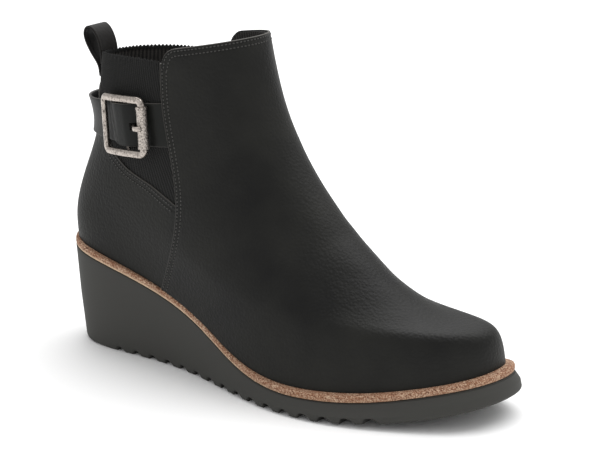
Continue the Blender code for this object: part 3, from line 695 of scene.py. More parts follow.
@dataclass(frozen=True)
class RibKnit(Finish):
    """Rib-knit elastic or lining: rows of small loops that swallow the light.

    Pattern coordinates run along the knitted row and up the rib. The yarn's rows are 0.5 mm apart
    in the real thing and drawn 1 mm apart, so that they show. The colour is painted shade in the
    valleys between the ribs and painted light on the rib tops, mixed with random fuzz.
    """

    # The pale colour is painted light on the rib tops, and the main colour is painted shade in the valleys
    # between them.
    pale: str = "181715"
    rib: float = 1.5 * MM
    course: float = 1.0 * MM
    rib_height: float = 0.0
    course_height: float = 0.05 * MM

    def looks(self, tree: bpy.types.NodeTree) -> dict[str, bpy.types.NodeSocket]:
        """Sources for the shader's inputs by name."""
        cells = self.place(tree, Space.PATTERN, (1.0 / self.rib, 1.0 / self.course, 1.0))
        parts = add_node(tree, "ShaderNodeSeparateXYZ", links={"Vector": cells})
        waves = []
        for axis in ("X", "Y"):
            turn = add_node(
                tree, "ShaderNodeMath", {"operation": "MULTIPLY", 1: FULL_TURN}, {0: parts.outputs[axis]}
            )
            waves.append(
                add_node(tree, "ShaderNodeMath", {"operation": "COSINE"}, {0: turn.outputs["Value"]})
            )
        fuzz = add_node(tree, "ShaderNodeTexNoise", {"Scale": 2.2, "Detail": 3.0}, {"Vector": cells})
        rib = add_node(
            tree, "ShaderNodeMath", {"operation": "MULTIPLY", 1: self.rib_height},
            {0: waves[0].outputs["Value"]},
        )
        course = add_node(
            tree, "ShaderNodeMath", {"operation": "MULTIPLY_ADD", 1: self.course_height},
            {0: waves[1].outputs["Value"], 2: rib.outputs["Value"]},
        )
        height = add_node(
            tree, "ShaderNodeMath", {"operation": "MULTIPLY_ADD", 1: 2.0 * self.course_height},
            {0: fuzz.outputs["Fac"], 2: course.outputs["Value"]},
        )
        relief = add_node(
            tree, "ShaderNodeBump", {"Strength": 0.7, "Distance": 1.0}, {"Height": height.outputs["Value"]}
        )
        # Painted shade and highlight: the colour darkens in the valleys between the ribs and pales on the rib
        # tops, mixed with random fuzz.
        shade = add_node(
            tree, "ShaderNodeMath", {"operation": "MULTIPLY_ADD", 1: 0.25},
            {0: waves[0].outputs["Value"], 2: fuzz.outputs["Fac"]},
        )
        colour = add_node(
            tree, "ShaderNodeValToRGB", {"stops": [(0.28, self.colour), (0.78, self.pale)]},
            {"Fac": shade.outputs["Value"]},
        )
        return {"Base Color": colour.outputs["Color"], "Normal": relief.outputs["Normal"]}


@dataclass(frozen=True)
class AntiqueNickel(Finish):
    """Zinc casting plated with nickel, blackened and rubbed back by hand.

    The rubbed faces shine warm and pale, and the black stays in the hollows as dark clouds. The
    hammered roller has its dents pressed in.
    """

    dark: str = "3A3531"
    cloud: float = 1.3 * MM
    spots: float = 0.12
    scratch: float = 0.5 * MM
    dent: float = 0.55 * MM
    dent_depth: float = 0.0

    def looks(self, tree: bpy.types.NodeTree) -> dict[str, bpy.types.NodeSocket]:
        """Sources for the shader's inputs by name."""
        cells = self.place(tree, Space.SOLID, (1.0 / self.scratch,) * 3)
        clouds = add_node(
            tree, "ShaderNodeTexNoise",
            {"Scale": self.scratch / self.cloud, "Detail": 6.0, "Roughness": 0.65},
            {"Vector": cells},
        )
        gloss = add_node(
            tree, "ShaderNodeMapRange",
            {"From Min": 0.35, "From Max": 0.6, "To Min": self.roughness + 0.2, "To Max": self.roughness},
            {"Value": clouds.outputs["Fac"]},
        )
        fine = add_node(tree, "ShaderNodeTexNoise", {"Scale": 1.0, "Detail": 3.0}, {"Vector": cells})
        dents = add_node(
            tree, "ShaderNodeTexVoronoi", {"feature": "F1", "Scale": self.scratch / self.dent},
            {"Vector": cells},
        )
        spots = add_node(
            tree, "ShaderNodeMath", {"operation": "MULTIPLY", 1: self.spots}, {0: dents.outputs["Distance"]}
        )
        worn = add_node(
            tree, "ShaderNodeMath", {"operation": "MULTIPLY_ADD", 1: 1.0 - self.spots},
            {0: clouds.outputs["Fac"], 2: spots.outputs["Value"]},
        )
        colour = add_node(
            tree, "ShaderNodeValToRGB", {"stops": [(0.33, self.dark), (0.52, self.colour)]},
            {"Fac": worn.outputs["Value"]},
        )
        deep = add_node(
            tree, "ShaderNodeMath", {"operation": "MULTIPLY", 1: self.dent_depth},
            {0: dents.outputs["Distance"]},
        )
        height = add_node(
            tree, "ShaderNodeMath", {"operation": "MULTIPLY_ADD", 1: 0.03 * MM},
            {0: fine.outputs["Fac"], 2: deep.outputs["Value"]},
        )
        relief = add_node(
            tree, "ShaderNodeBump", {"Strength": 1.0, "Distance": 1.0}, {"Height": height.outputs["Value"]}
        )
        return {
            "Base Color": colour.outputs["Color"],
            "Roughness": gloss.outputs["Result"],
            "Normal": relief.outputs["Normal"],
        }


UPPER_LEATHER = PebbledLeather("upper_waxed_cow_leather", "0F0F0E", 0.5, ior=1.45)
STRAP_LEATHER = PebbledLeather(
    "strap_waxed_cow_leather", "0E0F0E", 0.46, ior=1.45, pale="191A18", pebble_height=0.1 * MM
)
LOOP_LEATHER = PebbledLeather(
    "loop_waxed_cow_leather", "0E0C0B", 0.5, ior=1.45, pale="191512", pebble_height=0.1 * MM
)
CUT_EDGE = Finish("painted_leather_edge", "45423E", 0.55)
SEWING_THREAD = Finish("bonded_polyester_thread", "3A3936", 0.42)
# Painted shadow: near-black thread capsules set between the stitches stand for the shade inside the needle
# holes.
PAINTED_HOLE_SHADOW = Finish("needle_hole_shadow", "050505", 0.9)
SOLE_RUBBER = MouldedRubber("moulded_foam_rubber", "32322E", 0.75)
WELT_BOARD = CutLeatherboard("cut_cork_leatherboard", "967560", 0.8)
# Each knit's pale colour is painted light on the rib tops, and its main colour is painted shade in the
# valleys between the ribs.
GORE_KNIT = RibKnit("rib_knit_elastic", "020202", 0.9, pale="171715")
LINING_KNIT = RibKnit("rib_knit_lining", "100F0E", 0.9, pale="3E3B38", rib=2.0 * MM, rib_height=0.25 * MM)
FOOTBED_FINISH = PebbledLeather("footbed_pigskin_lining", "1E1D1B", 0.7, pale="2A2825", pebble=1.4 * MM)
BUCKLE_NICKEL = AntiqueNickel("antique_nickel_casting", "B8AFA7", 0.22, metallic=1.0)
ROLLER_NICKEL = AntiqueNickel(
    "antique_nickel_hammered", "C4BBB3", 0.25, metallic=1.0, cloud=1.0 * MM, spots=0.4, dent_depth=0.25 * MM
)
STUDIO_PAPER = Finish("studio_paper", "FFFFFF", 0.9)


class Maker:
    """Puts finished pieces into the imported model's frame."""

    def __init__(self, last: Last, sole_top: Outline, sole_foot: Outline) -> None:
        """Find where the heel lies in the frame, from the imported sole."""
        low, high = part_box("sole_unit")
        turns = np.linspace(0.0, FULL_TURN, 721)
        sides = np.concatenate([last.outline(shape, turns)[:, 1] for shape in (sole_top, sole_foot)])
        across = (low.y + high.y) / 2.0 - (sides.min() + sides.max()) / 2.0
        self.shift = np.array([low.x - last.sole_length * sole_top.back, across, 0.0])
        self.finishes: dict[str, bpy.types.Material] = {}

    def finish(self, finish: Finish) -> bpy.types.Material:
        """The finish's material, made once."""
        if finish.name not in self.finishes:
            self.finishes[finish.name] = finish.material()
        return self.finishes[finish.name]

    def add(
        self, name: str, surface: Surface, finishes: list[Finish], slot: str,
        replaces: str, sharp: float = 50.0,
    ) -> bpy.types.Object:
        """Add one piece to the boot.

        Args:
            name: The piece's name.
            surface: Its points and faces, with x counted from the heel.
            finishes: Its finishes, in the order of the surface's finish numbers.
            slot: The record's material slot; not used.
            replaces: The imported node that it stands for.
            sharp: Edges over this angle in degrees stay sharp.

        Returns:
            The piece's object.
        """
        mesh = bpy.data.meshes.new(name)
        mesh.from_pydata((surface.points + self.shift).tolist(), [], surface.faces)
        if surface.pattern is not None:
            corners = np.zeros(len(mesh.loops), np.int32)
            mesh.loops.foreach_get("vertex_index", corners)
            layer = mesh.uv_layers.new(name="pattern")
            layer.data.foreach_set("uv", surface.pattern[corners].astype(np.float32).ravel())
        if surface.finishes is not None:
            mesh.polygons.foreach_set("material_index", surface.finishes.astype(np.int32))
        work = bmesh.new()
        work.from_mesh(mesh)
        bmesh.ops.recalc_face_normals(work, faces=work.faces)
        work.to_mesh(mesh)
        work.free()
        mesh.shade_smooth()
        mesh.set_sharp_from_angle(angle=np.radians(sharp))
        for finish in finishes:
            mesh.materials.append(self.finish(finish))
        piece = new_object(name, mesh)
        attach(piece, "root")
        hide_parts(replaces)
        LOG.info("%s: %d points, %d faces", name, len(surface.points), len(surface.faces))
        return piece


@dataclass(frozen=True)
class Thread:
    """Lockstitches as joined short capsules of thread, each sunk a little at its ends."""

    pitch: float = 1.95 * MM
    length: float = 1.45 * MM
    radius: float = 0.38 * MM
    offset: float = 0.0
    lift: float = 0.0
    sides: int = 6
    capsule: tuple[tuple[float, float, float], ...] = (  # place along, size, and lift in radii
        (-1.0, 0.35, -0.9), (-0.72, 0.8, -0.2), (0.0, 1.0, 0.15), (0.72, 0.8, -0.2), (1.0, 0.35, -0.9)
    )

    def run(self, path: Array, normals: Array) -> tuple[Array, list[tuple[int, ...]]]:
        """Lay stitches along a path.

        Args:
            path: Points along the seam, on the leather.
            normals: The direction out of the leather at each point.

        Returns:
            Points and faces of all the stitches.
        """
        shares = resample(path, self.pitch, self.offset)
        order = np.arange(len(path))
        run = np.gradient(path, axis=0)
        points: list[Array] = []
        faces: list[tuple[int, ...]] = []
        for share in shares:
            middle = np.array([np.interp(share, order, path[:, axis]) for axis in range(3)])
            out = np.array([np.interp(share, order, normals[:, axis]) for axis in range(3)])
            along = np.array([np.interp(share, order, run[:, axis]) for axis in range(3)])
            along /= np.linalg.norm(along)
            out -= along * (out @ along)
            out /= np.linalg.norm(out)
            side = np.cross(out, along)
            start = sum(len(block) for block in points)
            for place, size, lift in self.capsule:
                angle = np.linspace(0.0, FULL_TURN, self.sides, endpoint=False)
                spread = np.outer(np.cos(angle), side) + np.outer(np.sin(angle), out)
                raised = self.lift + lift * self.radius
                centre = middle + along * (place * self.length / 2.0) + out * raised
                points.append(centre + spread * (self.radius * size))
            faces += grid_faces(len(self.capsule), self.sides, wrap=True, start=start)
            end = start + (len(self.capsule) - 1) * self.sides
            faces.append(tuple(range(start, start + self.sides)))
            faces.append(tuple(range(end, end + self.sides)))
        return np.concatenate(points), faces

    def rows(self, lines: list[tuple[Array, Array]]) -> Surface:
        """Join the stitches of several seam lines, each a path with its normals."""
        points: list[Array] = []
        faces: list[tuple[int, ...]] = []
        for path, normals in lines:
            start = sum(len(block) for block in points)
            more, sides = self.run(path, normals)
            points.append(more)
            faces += [tuple(index + start for index in face) for face in sides]
        return Surface(np.concatenate(points), faces)


class Edge(NamedTuple):
    """One point of the top edge of the quarter and its back tab."""

    turn: float  # share of the turn at which the vamp covers the quarter
    level: float


class Crease(NamedTuple):
    """A soft trough in the leather, or a ridge where its depth is negative."""

    level: float
    turn: float  # degrees, negative on the medial side
    slant: float  # degrees from level round the foot
    length: float
    width: float
    depth: float


@dataclass(frozen=True)
class Upper:
    """Vamp, quarter, elastic gore and lining, each a panel in the upper's wall."""

    last: Last
    wall: float = 2.7 * MM
    quarter_depth: float = 0.7 * MM
    gore_depth: float = 1.5 * MM
    leather: float = 1.2 * MM
    edge_radius: float = 0.35 * MM
    corner_radius: float = 8.6 * MM
    gore_drop_lateral: float = 0.030
    gore_drop_medial: float = 0.055
    gore_power_lateral: float = 3.0
    gore_power_medial: float = 1.3
    seam_rows: tuple[float, float] = (1.4 * MM, 3.8 * MM)
    seam_sink: float = 0.16 * MM
    seam_width: float = 0.55 * MM
    rib: float = 1.5 * MM
    rib_height: float = 0.42 * MM
    picot_pitch: float = 2.25 * MM
    picot_height: float = 0.9 * MM
    picot_drop: float = 0.002  # levels
    gore_roll: tuple[float, float] = (0.5 * MM, 0.015)  # radius, and share of the height
    lining_roll: tuple[float, float] = (0.6 * MM, 0.03)
    overlap: float = 3.0 * MM
    vamp_rows: int = 89
    vamp_columns: int = 72
    quarter_rows: int = 69
    quarter_columns: int = 181
    gore_rows: int = 46
    gore_tuck: float = 0.05  # radians under the vamp
    gore_below: float = 0.09  # levels under the quarter's edge
    lining_drop: tuple[float, float] = (1.6 * MM, 0.7 * MM)  # under the gore's edge, and the vamp's
    border: tuple[float, ...] = (  # millimetres from a cut edge, closer at its round and at the seams
        0.0, 0.05, 0.175, 0.35, 0.7, 1.1, 1.4, 1.7, 2.1, 2.7, 3.2, 3.5, 3.8, 4.1, 4.5, 5.4, 7.0, 9.0
    )
    quarter_edge: tuple[Edge, ...] = (
        Edge(0.00, 0.845),
        Edge(0.17, 0.835),
        Edge(0.30, 0.770),
        Edge(0.42, 0.670),
        Edge(0.54, 0.572),
        Edge(0.68, 0.535),
        Edge(0.84, 0.528),
        Edge(1.00, 0.490),
    )
    creases: tuple[Crease, ...] = (
        Crease(0.60, 172.0, 8.0, 16.0 * MM, 6.0 * MM, 0.50 * MM),
        Crease(0.52, 165.0, -6.0, 15.0 * MM, 5.0 * MM, -0.30 * MM),
        Crease(0.72, 140.0, 62.0, 22.0 * MM, 5.5 * MM, 0.35 * MM),
        Crease(0.66, 126.0, 70.0, 26.0 * MM, 6.0 * MM, -0.35 * MM),
        Crease(0.80, 118.0, 78.0, 20.0 * MM, 5.0 * MM, 0.25 * MM),
        Crease(0.36, 150.0, 30.0, 18.0 * MM, 7.0 * MM, 0.35 * MM),
        Crease(0.30, 138.0, 22.0, 16.0 * MM, 6.0 * MM, -0.25 * MM),
        Crease(0.62, -160.0, -20.0, 20.0 * MM, 6.0 * MM, 0.35 * MM),
        Crease(0.42, -146.0, -32.0, 18.0 * MM, 7.0 * MM, 0.30 * MM),
        Crease(0.70, -124.0, -72.0, 24.0 * MM, 6.0 * MM, -0.30 * MM),
    )

    def corner(self) -> tuple[float, float]:
        """The round corner's reach in level and in turn, from its radius."""
        up, around = self.last.slopes(np.array(1.0), np.array(self.last.vamp_edge_high))
        return self.corner_radius / np.linalg.norm(up), self.corner_radius / np.linalg.norm(around)

    def collar_level(self, half: Array, side: Array) -> Array:
        """The level of the gore's top edge, and of the vamp's with its round corner."""
        edge = self.last.vamp_edge_high
        lateral = side < 0.0
        drop = np.where(lateral, self.gore_drop_lateral, self.gore_drop_medial)
        power = np.where(lateral, self.gore_power_lateral, self.gore_power_medial)
        gore = 1.0 - drop * np.minimum(half / edge, 1.0) ** power
        reach_level, reach_turn = self.corner()
        fall = np.clip(1.0 - (half - edge) / reach_turn, 0.0, 1.0)
        vamp = 1.0 - reach_level * (1.0 - np.sqrt(1.0 - fall**2))
        return np.where(half < edge, gore, vamp)

    def quarter_level(self, share: Array) -> Array:
        """The level of the quarter's top edge at a share of the vamp edge's turn."""
        mirrored = [Edge(-edge.turn, edge.level) for edge in self.quarter_edge[:0:-1]]
        turns, levels = zip(*mirrored, *self.quarter_edge)
        return soft_interp(share, turns, levels, 0.05)

    def border_depth(self, distance: Array) -> Array:
        """How far the leather turns down within its edge radius, and sinks under the seams."""
        near = np.clip(1.0 - distance / self.edge_radius, 0.0, 1.0)
        turned = self.edge_radius * (1.0 - np.sqrt(1.0 - near**2))
        sunk = sum(self.seam_sink * bell(distance - row, self.seam_width) for row in self.seam_rows)
        return turned + sunk

    def crease_depth(self, points: Array) -> Array:
        """The depth of all the creases at points of the skin."""
        total = np.zeros(points.shape[:-1])
        for crease in self.creases:
            turn = np.radians(crease.turn) % FULL_TURN
            level = np.array(crease.level)
            up, around = self.last.slopes(level, np.array(turn))
            around = around / np.linalg.norm(around)
            up = up - around * (up @ around)
            up /= np.linalg.norm(up)
            slant = np.radians(crease.slant)
            offset = points - self.last.point(level, np.array(turn))
            along = offset @ (around * np.cos(slant) + up * np.sin(slant))
            across = offset @ (up * np.cos(slant) - around * np.sin(slant))
            total += crease.depth * bell(along, crease.length) * bell(across, crease.width)
        return total

    def grid_rows(self, count: int) -> tuple[Array, Array, Array]:
        """Rows of a panel's grid: even ones, then ones that step down from the edge by the border.

        Args:
            count: Number of even rows.

        Returns:
            Each row's share of the height, its drop from the edge, and its distance from the edge,
            which is far for the even rows.
        """
        border = np.array(self.border) * MM
        share = np.concatenate([np.linspace(0.0, 1.0, count + 1)[:-1], np.ones(len(border))])
        drop = np.concatenate([np.full(count, border[-1]), border[::-1]])
        return share, drop, np.concatenate([np.ones(count), border[::-1]])

    def panel(self, level: Array, turn: Array, depths: tuple[Array, float], distance: Array) -> Surface:
        """A panel of leather that stands on the feather line, with a finish of its own on its cut edge.

        Args:
            level: Levels of its grid.
            turn: Turns of its grid.
            depths: Depths of its outer and inner face.
            distance: Distance of each point from its cut edge.

        Returns:
            The panel.
        """
        outer, inner = (self.last.skin(level, turn, depth) for depth in depths)
        for grid in (outer, inner):
            grid[0, :, 2] = self.last.feather_height(grid[0, :, 0])
        made = thick_panel(outer, inner, wrap=False)
        near = np.concatenate([distance.ravel() < self.edge_radius * 1.01, np.ones(distance.size, bool)])
        numbers = [int(near[list(face)].all() and min(face) < distance.size) for face in made.faces]
        return made._replace(finishes=np.array(numbers))

    def vamp_grid(self) -> tuple[Array, Array, Array]:
        """Levels, turns and distances from the edge, over the vamp from edge to edge."""
        border = np.array(self.border) * MM
        rest = np.linspace(0.0, 1.0, self.vamp_columns + 1)[1:]
        rows, below, to_top = self.grid_rows(self.vamp_rows)
        edge_mm = np.concatenate([border, np.full(len(rest), border[-1])])
        onward = np.concatenate([np.zeros(len(border)), rest])
        sides = []
        for side in (-1.0, 1.0):
            level = np.broadcast_to(rows[:, None], (len(rows), len(edge_mm)))
            for _ in range(3):
                edge = self.last.vamp_edge(level)
                _, around = self.last.slopes(level, np.where(side < 0.0, edge, FULL_TURN - edge))
                half = edge + edge_mm[None, :] / np.linalg.norm(around, axis=-1)
                half = half + (HALF_TURN - half) * onward[None, :]
                turn = np.where(side < 0.0, half, FULL_TURN - half)
                top = self.collar_level(half, np.full(half.shape, side))
                up, _ = self.last.slopes(top, turn)
                level = rows[:, None] * (top - below[:, None] / np.linalg.norm(up, axis=-1))
            sides.append((level, turn))
        level = np.concatenate([sides[0][0], sides[1][0][:, -2::-1]], axis=1)
        turn = np.concatenate([sides[0][1], sides[1][1][:, -2::-1]], axis=1)
        to_edge = np.where(onward > 0.0, 1.0, edge_mm)
        to_edge = np.concatenate([to_edge, to_edge[-2::-1]])
        return level, turn, np.minimum(to_edge[None, :], to_top[:, None])

    def vamp(self) -> Surface:
        """The vamp, one piece of leather from edge to edge round the toe."""
        level, turn, distance = self.vamp_grid()
        points = self.last.point(level, turn)
        depth = self.border_depth(distance) + self.crease_depth(points)
        return self.panel(level, turn, (depth, self.leather), distance)

    def quarter(self) -> Surface:
        """The quarters and their back tab, one piece of leather round the heel."""
        share = np.linspace(-1.0, 1.0, self.quarter_columns)
        rows, below, distance = self.grid_rows(self.quarter_rows)
        top = self.quarter_level(share)
        level = np.broadcast_to(rows[:, None] * top[None, :], (len(rows), len(share)))
        for _ in range(3):
            edge = self.last.vamp_edge(level)
            edge_turn = np.where(share > 0.0, edge, FULL_TURN - edge)
            _, around = self.last.slopes(level, edge_turn)
            reach = edge + self.overlap / np.linalg.norm(around, axis=-1)
            turn = (share[None, :] * reach) % FULL_TURN
            up, around = self.last.slopes(np.broadcast_to(top, level.shape), turn)
            slope = np.gradient(top) * np.linalg.norm(up, axis=-1)
            run = np.abs(np.gradient(share) * reach) * np.linalg.norm(around, axis=-1)
            steep = np.minimum(np.sqrt(1.0 + (slope / run) ** 2), 2.5)
            level = rows[:, None] * (top[None, :] - below[:, None] * steep / np.linalg.norm(up, axis=-1))
        distance = np.broadcast_to(distance[:, None], level.shape)
        depth = self.quarter_depth + self.border_depth(distance)
        return self.panel(level, turn, (depth, self.gore_depth - 0.05 * MM), distance)

    def arc_turns(self, level: float, spacing: float, overlap: float) -> tuple[Array, Array]:
        """Evenly spaced turns from vamp edge to vamp edge round the heel, and their metres."""
        reach = self.last.vamp_edge_high + overlap
        turns = np.linspace(-reach, reach, 1201)
        path = self.last.point(np.full(turns.shape, level), turns)
        length = metres_along(path)
        metres = np.linspace(0.0, length[-1], int(length[-1] / spacing))
        return np.interp(metres, length, turns), metres

    @staticmethod
    def rolled(over: Array, radius: float, share: float) -> Array:
        """How far a panel's faces draw in to a round top edge, over the last share of its height."""
        return radius * (1.0 - np.sqrt(1.0 - np.clip((over - 1.0 + share) / share, 0.0, 1.0) ** 2))

    def gore(self) -> Surface:
        """The elastic, one band round the back, ribbed up and down with a picot top edge."""
        turns, metres = self.arc_turns(0.9, self.rib / 6.0, self.gore_tuck)
        half, side = self.last.fold(turns % FULL_TURN)
        share = np.clip(half / self.last.vamp_edge_high, 0.0, 1.0)
        over = np.linspace(0.0, 1.0, self.gore_rows)[:, None]
        low = self.quarter_level(share) - self.gore_below
        up, _ = self.last.slopes(np.full(turns.shape, 0.97), turns)
        picot = self.picot_height * np.abs(np.sin(HALF_TURN * metres / self.picot_pitch))
        top = self.collar_level(np.minimum(half, self.last.vamp_edge_high * 0.9999), side)
        top = top + picot / np.linalg.norm(up, axis=-1) - self.picot_drop
        level = low + (top - low) * over
        rib = self.rib_height * (1.0 + np.cos(FULL_TURN * metres / self.rib)) / 2.0
        roll = self.rolled(over, *self.gore_roll)
        grid_turn = np.broadcast_to(turns, level.shape)
        outer = self.last.skin(level, grid_turn, self.gore_depth + self.rib_height - rib + roll)
        inner = self.last.skin(level, grid_turn, self.wall - 0.25 * MM - roll)
        pattern = np.stack([np.broadcast_to(metres, level.shape), outer[..., 2]], -1)
        return thick_panel(outer, inner, wrap=False, pattern=pattern)

    def lining(self) -> Surface:
        """The knit lining, a closed ring just inside the leather and the elastic."""
        turns = np.linspace(0.0, FULL_TURN, 361)[:-1]
        half, side = self.last.fold(turns)
        edge = self.last.vamp_edge_high
        up, _ = self.last.slopes(np.full(turns.shape, 0.98), turns)
        rise = np.linalg.norm(up, axis=-1)
        top = self.collar_level(half, side) - np.where(half < edge, *self.lining_drop) / rise
        over = np.concatenate([np.linspace(0.0, 0.97, 60), [0.98, 0.988, 0.994, 0.998, 1.0]])[:, None]
        level = top * over
        roll = self.rolled(over, *self.lining_roll)
        grid_turn = np.broadcast_to(turns, level.shape)
        under_gore = half < self.last.vamp_edge(level) + 0.02
        outside = np.where(under_gore, self.wall - 0.24 * MM, self.leather + 0.02 * MM)
        outer = self.last.skin(level, grid_turn, np.minimum(outside + roll, self.wall - 0.1 * MM))
        inner = self.last.skin(level, grid_turn, self.wall - np.minimum(roll, 0.2 * MM) * 0.5)
        for grid in (outer, inner):
            grid[0, :, 2] = self.last.feather_height(grid[0, :, 0])
        metres = np.broadcast_to(metres_along(inner[-1]), level.shape)
        pattern = np.stack([metres, inner[..., 2]], -1)
        return thick_panel(outer, inner, wrap=True, pattern=pattern)

    def vamp_outline(self) -> tuple[Array, Array]:
        """The vamp's free edge: up its lateral edge, along the collar and down the medial one."""
        reach_level, reach_turn = self.corner()
        start = self.last.vamp_edge_high
        levels = np.linspace(0.012, 1.0 - reach_level, 120)
        arc = np.linspace(0.0, HALF_TURN / 2.0, 24)[1:]
        round_level = 1.0 - reach_level * (1.0 - np.sin(arc))
        round_turn = start + reach_turn * (1.0 - np.cos(arc))
        collar_turn = np.linspace(start + reach_turn, HALF_TURN, 60)[1:]
        half_level = np.concatenate([levels, round_level, np.ones(len(collar_turn))])
        half_turn = np.concatenate([self.last.vamp_edge(levels), round_turn, collar_turn])
        level = np.concatenate([half_level, half_level[-2::-1]])
        return level, np.concatenate([half_turn, FULL_TURN - half_turn[-2::-1]])

    def quarter_outline(self, side: float) -> tuple[Array, Array]:
        """The quarter's top edge on one side, from under the strap to the vamp."""
        share = np.linspace(0.22, 0.985, 80)
        level = self.quarter_level(share)
        half = share * self.last.vamp_edge(level)
        return level, half if side < 0.0 else FULL_TURN - half

    def seams(self) -> list[tuple[Array, Array]]:
        """Both rows of stitches inside each free edge of the leather."""
        free_edges = [
            (self.vamp_outline(), -1.0, 0.0),
            (self.quarter_outline(-1.0), -1.0, self.quarter_depth),
            (self.quarter_outline(1.0), 1.0, self.quarter_depth),
        ]
        lines = []
        for (level, turn), side, depth in free_edges:
            for row in self.seam_rows:
                moved = self.last.beside(level, turn, row * side)
                path = self.last.skin(*moved, depth + self.seam_sink - 0.02 * MM)
                lines.append((path, self.last.normal(*moved)))
        return lines

    def build(self, maker: Maker) -> None:
        """Make the panels and their seams."""
        seams = self.seams()
        # Painted shadow: a second row of near-black capsules, half a stitch on, stands for the shade inside
        # the needle holes.
        hole_shadows = Thread(length=0.9 * MM, radius=0.5 * MM, offset=0.5, lift=-0.16 * MM)
        pieces = (
            ("vamp", self.vamp(), [UPPER_LEATHER, CUT_EDGE]),
            ("quarter", self.quarter(), [UPPER_LEATHER, CUT_EDGE]),
            ("gore", self.gore(), [GORE_KNIT]),
            ("collar_lining", self.lining(), [LINING_KNIT]),
            ("upper_stitches", Thread().rows(seams), [SEWING_THREAD]),
            ("painted_needle_hole_shadows", hole_shadows.rows(seams), [PAINTED_HOLE_SHADOW]),
        )
        for name, surface, finishes in pieces:
            maker.add(name, surface, finishes, "upper_leather", "upper")


@dataclass(frozen=True)
class Bottom:
    """The rubber wedge, the board over it, and the footbed."""

    last: Last
    top: Outline = Outline(
        0.004, 1.000, (0.650, 0.505, 0.332, 0.505, 0.552, 0.661), (0.650, 0.500, 0.315, 0.515, 0.535, 0.661)
    )
    foot: Outline = Outline(
        0.018, 1.012, (0.572, 0.437, 0.335, 0.545, 0.610, 0.745), (0.572, 0.430, 0.318, 0.550, 0.585, 0.745)
    )
    welt_thickness: float = 3.5 * MM
    lap: float = 102.0 * MM
    lap_step: float = 0.35 * MM
    rough_size: float = 1.0 / 900.0
    rough_depth: float = 0.07 * MM
    # Section rows: millimetres in from the outline, then down, up, or up as a share.
    shoulder: tuple[tuple[float, float], ...] = ((0.0, 0.8), (0.1, 0.35), (0.3, 0.1), (0.8, 0.0))
    welt_edge: tuple[tuple[float, float], ...] = (
        (1.2, -3.5), (0.45, -3.5), (0.2, -3.38), (0.05, -3.1), (-0.05, -2.6), (-0.1, -1.925),
        (-0.05, -1.05), (0.08, -0.5), (0.3, -0.15), (0.6, 0.0), (6.0, 0.0),
    )
    footbed_edge: tuple[tuple[float, float], ...] = (
        (0.0, 0.0), (0.0, 0.6), (0.3, 0.85), (0.9, 0.96), (1.8, 1.0), (5.0, 0.98), (10.0, 0.93),
    )
    edge_inset: float = 1.6 * MM
    edge_height: float = 3.6 * MM
    waist_height: float = 0.45
    waist_hollow: float = 0.55
    toe_hollow: float = 0.2
    toe_edge: float = 0.6
    toe_start: float = 0.8
    toe_spring: float = 12.0 * MM
    spring_start: float = 0.64
    spring_power: float = 2.2
    lugs: int = 16
    lug_first: float = 42.0 * MM
    lug_pitch: float = 11.45 * MM
    groove_width: tuple[float, float] = (5.2 * MM, 7.6 * MM)
    groove_depth: tuple[float, float] = (2.3 * MM, 3.3 * MM)
    groove_lean: float = 0.6
    insole_thickness: float = 3.5 * MM
    insole_inset: float = 1.4 * MM

    def spring(self, x: Array) -> Array:
        """Height of the tread over the floor, which lifts towards the toe."""
        share = (np.asarray(x) / self.last.sole_length - self.spring_start) / (1.0 - self.spring_start)
        return self.toe_spring * np.clip(share, 0.0, None) ** self.spring_power

    def groove(self, x: Array) -> Array:
        """Depth of the lug groove at x from the heel, steeper on its heel side."""
        depth = np.zeros_like(x)
        for number in range(self.lugs):
            width = np.interp(number, (0, self.lugs - 1), self.groove_width)
            deep = np.interp(number, (0, self.lugs - 1), self.groove_depth)
            place = (x - self.lug_first - self.lug_pitch * number) / width + 0.5
            swing = np.sin(HALF_TURN * np.clip(place, 0.0, 1.0) ** self.groove_lean)
            depth = np.maximum(depth, deep * np.clip(swing, 0.0, None) ** 0.7)
        return depth

    @staticmethod
    def both_sides(half_turns: Array) -> Array:
        """The turns of a whole ring from those of its lateral half, ends counted once."""
        return np.concatenate([half_turns, FULL_TURN - half_turns[-2:0:-1]])

    @staticmethod
    def inset(points: Array, distance: float) -> Array:
        """Move each point of a closed outline inwards."""
        along = np.roll(points, -1, axis=0) - np.roll(points, 1, axis=0)
        along /= np.linalg.norm(along, axis=1, keepdims=True)
        return points + np.stack([-along[:, 1], along[:, 0]], -1) * distance

    def even_turns(self, shape: Outline, spacing: float) -> Array:
        """Turns of a whole ring with even steps along the length, closer at the ends."""
        span = self.last.sole_length * (shape.front - shape.back)
        half = np.linspace(0.0, HALF_TURN, 1001)
        x = span * (1.0 - np.cos(half)) / 2.0
        cost = np.cumsum(np.hypot(np.diff(x), 0.35 * span * np.abs(np.diff(np.sin(half)))))
        cost = np.concatenate([[0.0], cost])
        steps = np.linspace(0.0, cost[-1], int(cost[-1] / spacing))
        return self.both_sides(np.interp(steps, cost, half))

    @staticmethod
    def capped(rings: list[Array], crossings: int) -> Surface:
        """A solid from rings of paired points, with a grid across each end."""
        columns = len(rings[0])
        half = columns // 2
        points = [np.concatenate(rings)]
        faces = grid_faces(len(rings), columns, wrap=True)
        count = len(rings) * columns
        for number in (0, len(rings) - 1):
            ring = rings[number]
            base = number * columns
            inside = count
            for i in range(1, half):
                share = np.linspace(0.0, 1.0, crossings + 2)[1:-1, None]
                points.append(ring[i] + (ring[columns - i] - ring[i]) * share)
            count += (half - 1) * crossings
            rows = []
            for i in range(1, half):
                row_start = inside + (i - 1) * crossings
                rows.append([base + i, *range(row_start, row_start + crossings), base + columns - i])
            for row, after in zip(rows[:-1], rows[1:]):
                for j in range(crossings + 1):
                    faces.append((row[j], row[j + 1], after[j + 1], after[j]))
            faces.append((base, *rows[0]))
            faces.append((base + half, *rows[-1][::-1]))
        return Surface(np.concatenate(points), faces)

